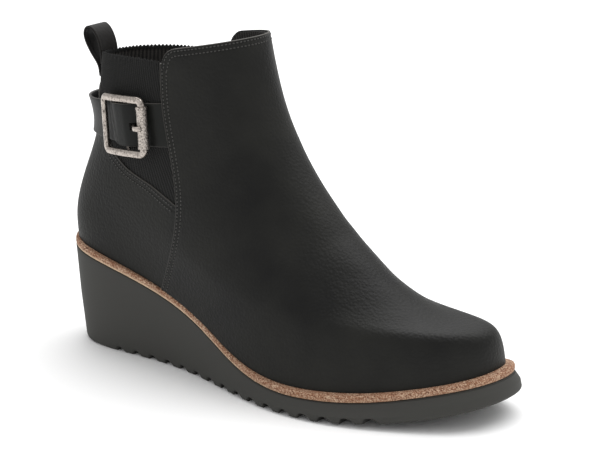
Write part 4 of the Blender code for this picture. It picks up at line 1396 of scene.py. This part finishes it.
    def sole(self) -> Surface:
        """The wedge and outsole in one moulding."""
        turns = self.even_turns(self.foot, 0.55 * MM)
        top = self.last.outline(self.top, turns)
        foot = self.last.outline(self.foot, turns)
        seat = self.last.feather_height(top[:, 0]) - self.welt_thickness - 2.0 * GAP
        spring = self.spring(foot[:, 0])
        tread = spring + self.groove(foot[:, 0])
        toe = smooth_step((foot[:, 0] / self.last.sole_length - self.toe_start) / (1.0 - self.toe_start))
        edge = spring + self.edge_height * (1.0 + (self.toe_edge - 1.0) * toe)
        waist = (self.waist_hollow + (self.toe_hollow - self.waist_hollow) * toe)[:, None]
        rings = []
        for angle in np.linspace(0.0, HALF_TURN / 2.0, 7):
            inset = self.edge_inset * (1.0 - np.sin(angle))
            height = tread + (edge - tread) * (1.0 - np.cos(angle))
            rings.append(np.column_stack([self.inset(foot, inset), height]))
        for share in np.linspace(0.0, 1.0, 15)[1:]:
            above = max(0.0, share - self.waist_height) / (1.0 - self.waist_height)
            below = min(1.0, share / self.waist_height)
            side = foot + (top - foot) * (waist * below + (1.0 - waist) * above)
            rings.append(np.column_stack([side, edge + (seat - edge) * share]))
        shoulder = rings.pop()
        for inset, drop in self.shoulder:
            rings.append(np.column_stack([self.inset(top, inset * MM), shoulder[:, 2] - drop * MM]))
        return self.capped(rings, 8)

    def welt(self) -> Surface:
        """The board, with its cut edge rounded, roughened, and lapped near the waist."""
        turns = self.even_turns(self.top, 0.8 * MM)
        outline = self.last.outline(self.top, turns)
        top = self.last.feather_height(outline[:, 0]) - GAP
        lap = bell(outline[:, 0] - self.lap, 1.3 * MM) * (outline[:, 1] < 0.0)
        rings = []
        heights = []
        low = -self.welt_thickness
        for inset, height in self.welt_edge:
            height *= MM
            ring = np.column_stack([self.inset(outline, inset * MM), top + height])
            if abs(inset) < 1.0:
                rough = [noise_vector(Vector(point / self.rough_size)) * self.rough_depth for point in ring]
                ring = ring + np.array(rough)
                ring[:, 2] += lap * self.lap_step
                ring[:, 1] -= lap * self.lap_step
            rings.append(ring)
            heights.append(np.full(len(ring), height - low))
        surface = self.capped(rings, 2)
        pattern = np.zeros((len(surface.points), 2))
        pattern[:, 0] = surface.points[:, 0]
        pattern[: len(rings) * len(outline), 1] = np.concatenate(heights)
        return Surface(surface.points, surface.faces, pattern)

    def footbed(self, wall: float) -> Surface:
        """The footbed, with a soft round edge and a shallow heel cup."""
        turns = self.even_turns(self.top, 1.6 * MM)
        line = self.last.skin(np.zeros(len(turns)), turns, wall)
        outline = self.inset(line[:, :2], self.insole_inset)
        rings = []
        for inset, height in self.footbed_edge:
            ring = self.inset(outline, inset * MM)
            base = self.last.feather_height(ring[:, 0])
            rings.append(np.column_stack([ring, base + self.insole_thickness * height]))
        return self.capped(rings, 6)

    def build(self, maker: Maker, wall: float) -> None:
        """Make the sole, the board and the footbed."""
        maker.add("sole", self.sole(), [SOLE_RUBBER], "sole_rubber", "sole_unit")
        maker.add("welt_edge_board", self.welt(), [WELT_BOARD], "welt_leatherboard", "welt_board")
        maker.add("footbed", self.footbed(wall), [FOOTBED_FINISH], "insole_lining", "insole")


class Ride(NamedTuple):
    """How high the strap's inner face rides over the upper's skin."""

    along: float  # along the strap from the middle of the buckle
    lift: float


class PathPoint(NamedTuple):
    """A point of the prong's middle line, in the buckle's own frame."""

    along: float
    out: float


@dataclass
class StrapAndBuckle:
    """The strap round the back, and the buckle with its roller and prong."""

    last: Last
    strap_width: float = 22.0 * MM
    strap_back_width: float = 19.0 * MM
    strap_thickness: float = 1.5 * MM
    strap_back_level: float = 0.668
    strap_rise: float = 6.3 * MM
    strap_flare: float = 4.5 * MM
    flare_turn: float = np.radians(42.0)
    quarter_crossing: tuple[float, float] = (np.radians(36.0), np.radians(44.0))
    tuck: float = 1.2 * MM
    buckle_turn: float = np.radians(66.5)
    buckle_across: float = -0.04
    length: float = 35.0 * MM
    height: float = 32.0 * MM
    corner: float = 4.7 * MM
    standoff: float = 4.1 * MM
    tilt: float = np.radians(5.0)
    bend: float = 90.0 * MM
    bar_width: float = 3.8 * MM
    bar_thickness: float = 3.0 * MM
    squareness: float = 2.6
    axle_radius: float = 1.3 * MM
    centre_bar_radius: float = 1.0 * MM
    centre_bar_drop: float = 3.4 * MM
    roller_radius: float = 3.0 * MM
    roller_length: float = 22.0 * MM
    roller_waist: float = 0.25 * MM
    roller_collar: float = 1.5 * MM
    prong_width: float = 3.0 * MM
    prong_thickness: float = 1.7 * MM
    prong_taper: float = 0.05
    prong_fill: float = 0.47  # half the section, less a little for its round
    prong_tip: float = 0.93  # share of the length at which the tip begins
    slot_start: float = 5.8 * MM
    slot_end: float = 11.4 * MM
    slot_reach: tuple[float, float] = (-3.0 * MM, 9.0 * MM)
    ride: tuple[Ride, ...] = (
        Ride(-12.5 * MM, -0.3 * MM),
        Ride(-9.5 * MM, 0.9 * MM),
        Ride(-6.5 * MM, 2.6 * MM),
        Ride(-3.5 * MM, 3.4 * MM),
        Ride(3.0 * MM, 3.4 * MM),
        Ride(6.0 * MM, 2.2 * MM),
        Ride(9.0 * MM, 0.3 * MM),
        Ride(11.5 * MM, -1.2 * MM),
        Ride(20.0 * MM, -1.2 * MM),
        Ride(23.5 * MM, -2.1 * MM),
    )
    prong_path: tuple[PathPoint, ...] = (
        PathPoint(-2.2 * MM, 1.0 * MM),
        PathPoint(-1.4 * MM, 2.0 * MM),
        PathPoint(0.0 * MM, 2.55 * MM),
        PathPoint(3.0 * MM, 1.8 * MM),
        PathPoint(6.0 * MM, 1.8 * MM),
        PathPoint(8.6 * MM, 3.4 * MM),
        PathPoint(10.6 * MM, 5.3 * MM),
        PathPoint(12.6 * MM, 7.1 * MM),
        PathPoint(14.8 * MM, 8.2 * MM),
        PathPoint(16.6 * MM, 8.1 * MM),
        PathPoint(18.0 * MM, 7.3 * MM),
    )

    def __post_init__(self) -> None:
        """Work out the buckle's own frame from the skin under the strap's middle line."""
        probe = np.radians(1.0)
        self.origin = self.under(self.buckle_turn)
        along = self.under(self.buckle_turn + probe) - self.under(self.buckle_turn - probe)
        self.along = along / np.linalg.norm(along)
        turn = np.array(self.buckle_turn)
        out = self.last.normal(self.last.level_at(self.strap_height(turn, self.buckle_across), turn), turn)
        out = out - self.along * (out @ self.along)
        self.out = out / np.linalg.norm(out)
        self.up = np.cross(self.out, self.along)
        self.up = self.up * np.sign(self.up[2])
        tilted = self.out * np.cos(self.tilt) + self.up * np.sin(self.tilt)
        self.up = self.up * np.cos(self.tilt) - self.out * np.sin(self.tilt)
        self.out = tilted

    def strap_height(self, half: Array, across: Array) -> Array:
        """Height of a line along the strap: across runs from -0.5 to 0.5 over its width."""
        share = (1.0 - np.cos(half)) / (1.0 - np.cos(self.last.vamp_edge_high))
        wider = (self.strap_width - self.strap_back_width) * np.minimum(1.0, share * 2.0)
        width = self.strap_back_width + wider
        back = self.last.heel_seat + (self.last.collar_back - self.last.heel_seat) * self.strap_back_level
        return back + self.strap_rise * share + across * width

    def under(self, turn: float) -> Array:
        """The skin's point under the strap's middle line."""
        level = self.last.level_at(self.strap_height(turn, self.buckle_across), np.array(turn))
        return self.last.point(level, np.array(turn))

    def place(self, along: Array, up: Array, out: Array) -> Array:
        """Points of the bent buckle frame in the boot's axes."""
        along, up, out = np.broadcast_arrays(along, up, out)
        bent = out - along**2 / (2.0 * self.bend)
        return (
            self.origin + along[..., None] * self.along + up[..., None] * self.up + bent[..., None] * self.out
        )

    def strap_points(self, share: Array, across: Array, out: Array) -> Array:
        """Points of the strap.

        Args:
            share: From -1 at the lateral vamp edge over 0 at the heel to 1 at the medial one.
            across: Share of the strap's width, from -0.5 to 0.5.
            out: Metres out from the strap's inner face.

        Returns:
            A point for each.
        """
        edge_turn = np.full(across.shape, self.last.vamp_edge_high)
        end_level = self.last.level_at(self.strap_height(edge_turn, across), edge_turn)
        end = self.last.vamp_edge(end_level)
        end = end + self.tuck / (self.last.ball_width * self.last.rings[-1].widths[2])
        half = np.abs(share) * end
        turn = np.where(share < 0.0, half, (FULL_TURN - half) % FULL_TURN)
        level = self.last.level_at(self.strap_height(half, across), turn)
        along = (self.last.point(level, turn) - self.origin) @ self.along
        ridden = soft_interp(along, [r.along for r in self.ride], [r.lift for r in self.ride], 1.4 * MM)
        ends = (self.ride[0].lift, self.ride[-1].lift)
        lift = np.where(share < 0.0, ridden, np.interp(half, self.quarter_crossing, ends))
        fade = np.clip(1.0 - (half / self.flare_turn) ** 2, 0.0, None)
        flare = self.strap_flare * (across + 0.5) ** 2 * fade
        return self.last.skin(level, turn, -(lift + flare + out))

    def strap(self, maker: Maker) -> None:
        """The strap, with round cut edges and the slot that the prong comes through."""
        radius = 0.45 * MM
        profile = rounded_strip(self.strap_width, self.strap_thickness, radius, 11)
        places = np.concatenate([np.linspace(-1.0, 0.0, 121), np.linspace(0.0, 1.0, 60)[1:]])
        across = profile[:, 0] / self.strap_width
        out = profile[:, 1] + self.strap_thickness / 2.0
        grid = np.broadcast_arrays(places[:, None], across[None, :], out[None, :])
        surface = swept(self.strap_points(*grid), closed=False)
        cut = np.abs(profile[:, 0]) > self.strap_width / 2.0 - radius * 0.8
        columns = len(profile)
        numbers = np.array([
            int(cut[face[0] % columns] and cut[face[1] % columns]) if len(face) == 4 else 1
            for face in surface.faces
        ])
        surface = Surface(surface.points, surface.faces, None, numbers)
        strap = maker.add("strap_leather_band", surface, [STRAP_LEATHER, CUT_EDGE], "strap_leather", "strap")
        half_width = self.prong_width / 2.0 + GAP
        corners = [
            self.place(np.array(along), np.array(up), np.array(out_))
            for along in (self.slot_start, self.slot_end)
            for up in (-half_width, half_width)
            for out_ in self.slot_reach
        ]
        block = bpy.data.meshes.new("slot_punch")
        sides = [(0, 1, 3, 2), (4, 6, 7, 5), (0, 4, 5, 1), (2, 3, 7, 6), (0, 2, 6, 4), (1, 5, 7, 3)]
        block.from_pydata((np.array(corners) + maker.shift).tolist(), [], sides)
        punch = new_object("slot_punch", block)
        hole = strap.modifiers.new("slot", "BOOLEAN")
        hole.operation = "DIFFERENCE"
        hole.solver = "EXACT"
        hole.object = punch
        bpy.context.view_layer.update()
        shaped = bpy.data.meshes.new_from_object(strap.evaluated_get(bpy.context.evaluated_depsgraph_get()))
        strap.modifiers.clear()
        strap.data = shaped
        bpy.data.objects.remove(punch, do_unlink=True)

    def round_ring(
        self, middle: tuple[float, float], side: tuple[float, float], radii: tuple[float, float],
        squareness: float,
    ) -> Array:
        """A superellipse ring round a middle, spread along the side direction and outwards."""
        angle = np.linspace(0.0, FULL_TURN, 20, endpoint=False)
        across = radii[0] * signed_power(np.cos(angle), 2.0 / squareness)
        out = self.standoff + radii[1] * signed_power(np.sin(angle), 2.0 / squareness)
        return self.place(middle[0] + side[0] * across, middle[1] + side[1] * across, out)

    def frame_ring(self) -> Surface:
        """The rectangular frame: three wide bars and the thin axle under the roller."""
        half_length = self.length / 2.0 - self.bar_width / 2.0
        half_height = self.height / 2.0 - self.bar_width / 2.0
        corner = self.corner - self.bar_width / 2.0
        wide = (self.bar_width / 2.0, self.bar_thickness / 2.0)
        thin = (self.axle_radius, self.axle_radius)
        sections = []
        for quarter in range(4):
            start = quarter * HALF_TURN / 2.0
            centre_x = (half_length - corner) * (1.0 if quarter in (0, 3) else -1.0)
            centre_y = (half_height - corner) * (1.0 if quarter in (0, 1) else -1.0)
            for angle in np.linspace(start, start + HALF_TURN / 2.0, 9):
                side = (np.cos(angle), np.sin(angle))
                middle = (centre_x + corner * side[0], centre_y + corner * side[1])
                sections.append(self.round_ring(middle, side, wide, self.squareness))
            if quarter < 3:
                reach = 2.0 * ((half_length if quarter != 1 else half_height) - corner)
                run = np.array([-side[1], side[0]])
                for share in np.linspace(0.0, 1.0, 12)[1:-1]:
                    point = np.array(middle) + run * reach * share
                    sections.append(self.round_ring(point, side, wide, self.squareness))
        reach = self.roller_length / 2.0 + GAP
        for height in (-reach, reach):
            sections.append(self.round_ring((half_length, height), (1.0, 0.0), thin, 2.0))
        return swept(np.array(sections), closed=True)

    def centre_bar(self) -> Surface:
        """The round bar under the strap that the prong turns on."""
        reach = self.height / 2.0 - self.bar_width * 0.6
        low = self.standoff - self.centre_bar_drop
        ends = ((-reach, self.standoff, 0.0, 1.0), (-reach, low, 1.0, 1.0), (reach, low, 1.0, -1.0),
                (reach, self.standoff, 0.0, -1.0))
        sections = []
        angle = np.linspace(0.0, FULL_TURN, 14, endpoint=False)
        for height, out, mitre, inward in ends:
            along = self.centre_bar_radius * np.cos(angle)
            through = self.centre_bar_radius * np.sin(angle)
            sections.append(self.place(along, height + through * inward, out + through * mitre))
        return swept(np.array(sections), closed=False)

    def roller(self) -> Surface:
        """The tube on the front bar, with a raised collar at each end."""
        inner = self.axle_radius + GAP
        half = self.roller_length / 2.0
        full = self.roller_radius
        body = full - self.roller_waist
        collar = self.roller_collar
        end = [
            (half, inner), (half, full - 0.2 * MM), (half - 0.15 * MM, full), (half - collar, full),
            (half - collar - 0.2 * MM, body),
        ]
        profile = [(-height, radius) for height, radius in end] + [(0.0, body)] + end[::-1]
        sides = 40
        angle = np.linspace(0.0, FULL_TURN, sides, endpoint=False)
        x = self.length / 2.0 - self.bar_width / 2.0
        rings = []
        for height, radius in profile:
            middle = self.place(np.full(sides, x), height, self.standoff + radius * np.sin(angle))
            rings.append(middle + np.outer(radius * np.cos(angle), self.along))
        return swept(np.array(rings), closed=True)

    def prong(self) -> Surface:
        """The tongue, rounded and tapered, from over the centre bar to its rest on the roller."""
        knots = np.arange(len(self.prong_path))
        where = np.linspace(0.0, len(knots) - 1.0, 49)
        path = spline(knots, [(point.along, point.out) for point in self.prong_path], where)
        run = np.gradient(path, axis=0)
        run /= np.linalg.norm(run, axis=1, keepdims=True)
        angle = np.linspace(0.0, FULL_TURN, 16, endpoint=False)
        sections = []
        for (along, out), ahead, share in zip(path, run, np.linspace(0.0, 1.0, len(path))):
            taper = 1.0 - self.prong_taper * smooth_step(share)
            tip = np.sqrt(max(0.05, 1.0 - max(0.0, (share - self.prong_tip) / (1.0 - self.prong_tip)) ** 2))
            size = self.prong_fill * taper * tip
            across = self.prong_width * size * signed_power(np.cos(angle), 0.7)
            through = self.prong_thickness * size * signed_power(np.sin(angle), 0.7)
            sections.append(self.place(along - ahead[1] * through, across, out + ahead[0] * through))
        return swept(np.array(sections), closed=False)

    def build(self, maker: Maker) -> None:
        """Make the strap and the buckle's pieces."""
        self.strap(maker)
        pieces = (
            ("buckle_ring", self.frame_ring(), BUCKLE_NICKEL, "buckle_frame", 50.0),
            ("buckle_centre_bar", self.centre_bar(), BUCKLE_NICKEL, "buckle_frame", 50.0),
            ("hammered_roller", self.roller(), ROLLER_NICKEL, "buckle_roller", 40.0),
            ("prong", self.prong(), BUCKLE_NICKEL, "buckle_prong", 50.0),
        )
        for name, surface, finish, node, sharp in pieces:
            maker.add(name, surface, [finish], "buckle_nickel", node, sharp)


class LoopPoint(NamedTuple):
    """A point of the pull loop's middle line, and how far it hugs the round of the collar."""

    lean: float
    rise: float
    hug: float


@dataclass(frozen=True)
class PullLoop:
    """The strip of leather in a loop at the back of the collar."""

    last: Last
    width: float = 14.0 * MM
    thickness: float = 1.4 * MM
    height: float = 12.0 * MM
    lean: float = 12.4 * MM
    tail: float = 13.5 * MM
    bend: tuple[LoopPoint, ...] = (
        LoopPoint(0.30, -0.60, 0.7),
        LoopPoint(0.57, -0.20, 0.4),
        LoopPoint(0.77, 0.12, 0.2),
        LoopPoint(0.91, 0.42, 0.1),
        LoopPoint(0.95, 0.74, 0.0),
        LoopPoint(0.82, 0.97, 0.0),
        LoopPoint(0.60, 0.98, 0.0),
        LoopPoint(0.40, 0.80, 0.1),
        LoopPoint(0.26, 0.54, 0.3),
        LoopPoint(0.18, 0.24, 0.6),
        LoopPoint(0.15, -0.06, 0.9),
        LoopPoint(0.15, -0.34, 1.0),
        LoopPoint(0.15, -0.58, 1.0),
    )

    def path(self, gore_depth: float) -> Array:
        """The middle line with its hug, from the outer leg's foot over the top to the front leg's."""
        collar = self.last.skin(np.array(1.0), np.array(0.0), gore_depth)
        outside = collar[0] - GAP - self.thickness / 2.0
        top = collar[2]
        low_level = self.last.level_at(np.array(top - self.tail), np.array(0.0))
        low = self.last.skin(low_level, np.array(0.0), gore_depth)[0] - GAP - self.thickness / 2.0
        rows = [(low, top - self.tail, 1.1), (low - GAP, top - self.tail * 0.82, 1.0)]
        rows += [(outside - self.lean * row.lean, top + self.height * row.rise, row.hug) for row in self.bend]
        return spline(np.arange(len(rows)), rows, np.linspace(0.0, len(rows) - 1.0, 141))

    def build(self, maker: Maker, gore_depth: float) -> None:
        """Make the strip, with a creased line along each of its edges."""
        path = self.path(gore_depth)
        ahead = np.gradient(path[:, :2], axis=0)
        ahead /= np.linalg.norm(ahead, axis=1, keepdims=True)
        ring = self.last.rings[-1]
        round_back = (self.last.ball_width * ring.widths[0]) ** 2
        round_back /= self.last.sole_length * (ring.front_x - ring.back_x) / 2.0
        profile = rounded_strip(self.width, self.thickness, 0.5 * MM, 21)
        line = 0.14 * MM * bell(np.abs(profile[:, 0]) - self.width / 2.0 + 1.7 * MM, 0.5 * MM)
        through = profile[:, 1] - np.sign(profile[:, 1]) * line
        sections = []
        for (x, z, hug), (run_x, run_z) in zip(path, ahead):
            y = profile[:, 0]
            round_x = hug * y**2 / (2.0 * round_back)
            sections.append(np.stack([x - run_z * through + round_x, y, z + run_x * through], -1))
        surface = swept(np.array(sections), closed=False)
        maker.add("loop_strip", surface, [LOOP_LEATHER], "loop_leather", "pull_loop")


class Softbox(NamedTuple):
    """One soft light: its name, place, aim, size and power in watts."""

    name: str
    place: tuple[float, float, float]
    aim: tuple[float, float, float]
    size: tuple[float, float]
    power: float


@dataclass(frozen=True)
class Studio:
    """A pale floor, soft lights and the camera at the photograph's angle."""

    azimuth: float = np.radians(34.76)
    elevation: float = np.radians(16.40)
    position: tuple[float, float, float] = (0.60564, -0.85576, 0.38962)
    lens: float = 128.34
    sensor: float = 36.0
    floor_size: float = 8.0
    surroundings: float = 0.7
    softboxes: tuple[Softbox, ...] = (
        Softbox("top_softbox", (0.0, 0.6, 1.5), (0.0, 0.0, 0.0), (2.4, 1.6), 31.0),
        Softbox("front_softbox", (1.2, 0.3, 0.8), (0.05, 0.0, 0.06), (0.5, 0.7), 0.5),
        Softbox("side_softbox", (-0.6, -1.1, 0.6), (0.0, 0.0, 0.06), (0.8, 0.6), 0.8),
    )

    def camera(self) -> None:
        """Look at the boot from in front and a little above."""
        back = Vector((
            np.sin(self.azimuth) * np.cos(self.elevation),
            -np.cos(self.azimuth) * np.cos(self.elevation),
            np.sin(self.elevation),
        ))
        data = bpy.data.cameras.new("photo_camera")
        data.lens = self.lens
        data.sensor_width = self.sensor
        data.sensor_fit = "HORIZONTAL"
        data.clip_end = 20.0
        camera = new_object("photo_camera", data)
        right = Vector((np.cos(self.azimuth), np.sin(self.azimuth), 0.0))
        turned = Matrix((right, back.cross(right), back)).transposed().to_4x4()
        camera.matrix_world = Matrix.Translation(Vector(self.position)) @ turned
        bpy.context.scene.camera = camera

    @staticmethod
    def hang(box: Softbox) -> None:
        """Hang one softbox."""
        data = bpy.data.lights.new(box.name, "AREA")
        data.shape = "RECTANGLE"
        data.size, data.size_y = box.size
        data.energy = box.power
        lamp = new_object(box.name, data)
        lamp.location = box.place
        aim = Vector(box.aim) - Vector(box.place)
        lamp.rotation_euler = aim.to_track_quat("-Z", "Y").to_euler()

    def build(self) -> None:
        """Set up the floor, the lights, the surroundings and the camera."""
        half = self.floor_size / 2.0
        mesh = bpy.data.meshes.new("studio_floor")
        corners = [(-half, -half, 0.0), (half, -half, 0.0), (half, half, 0.0), (-half, half, 0.0)]
        mesh.from_pydata(corners, [], [(0, 1, 2, 3)])
        mesh.materials.append(STUDIO_PAPER.material())
        new_object("studio_floor", mesh)
        world = bpy.data.worlds.new("studio_white")
        world.use_nodes = True
        shade = world.node_tree.nodes["Background"]
        shade.inputs["Color"].default_value = linear("FFFFFF")
        shade.inputs["Strength"].default_value = self.surroundings
        bpy.context.scene.world = world
        for box in self.softboxes:
            self.hang(box)
        bpy.context.scene.view_settings.view_transform = "Standard"
        self.camera()


def main() -> None:
    """Build the boot's looks, piece by piece, and the studio round it."""
    logging.basicConfig(level=logging.INFO, format="%(name)s: %(message)s")
    last = Last()
    bottom = Bottom(last)
    upper = Upper(last)
    maker = Maker(last, bottom.top, bottom.foot)
    upper.build(maker)
    bottom.build(maker, upper.wall)
    StrapAndBuckle(last).build(maker)
    PullLoop(last).build(maker, upper.gore_depth)
    Studio().build()


if __name__ == "__main__":
    main()
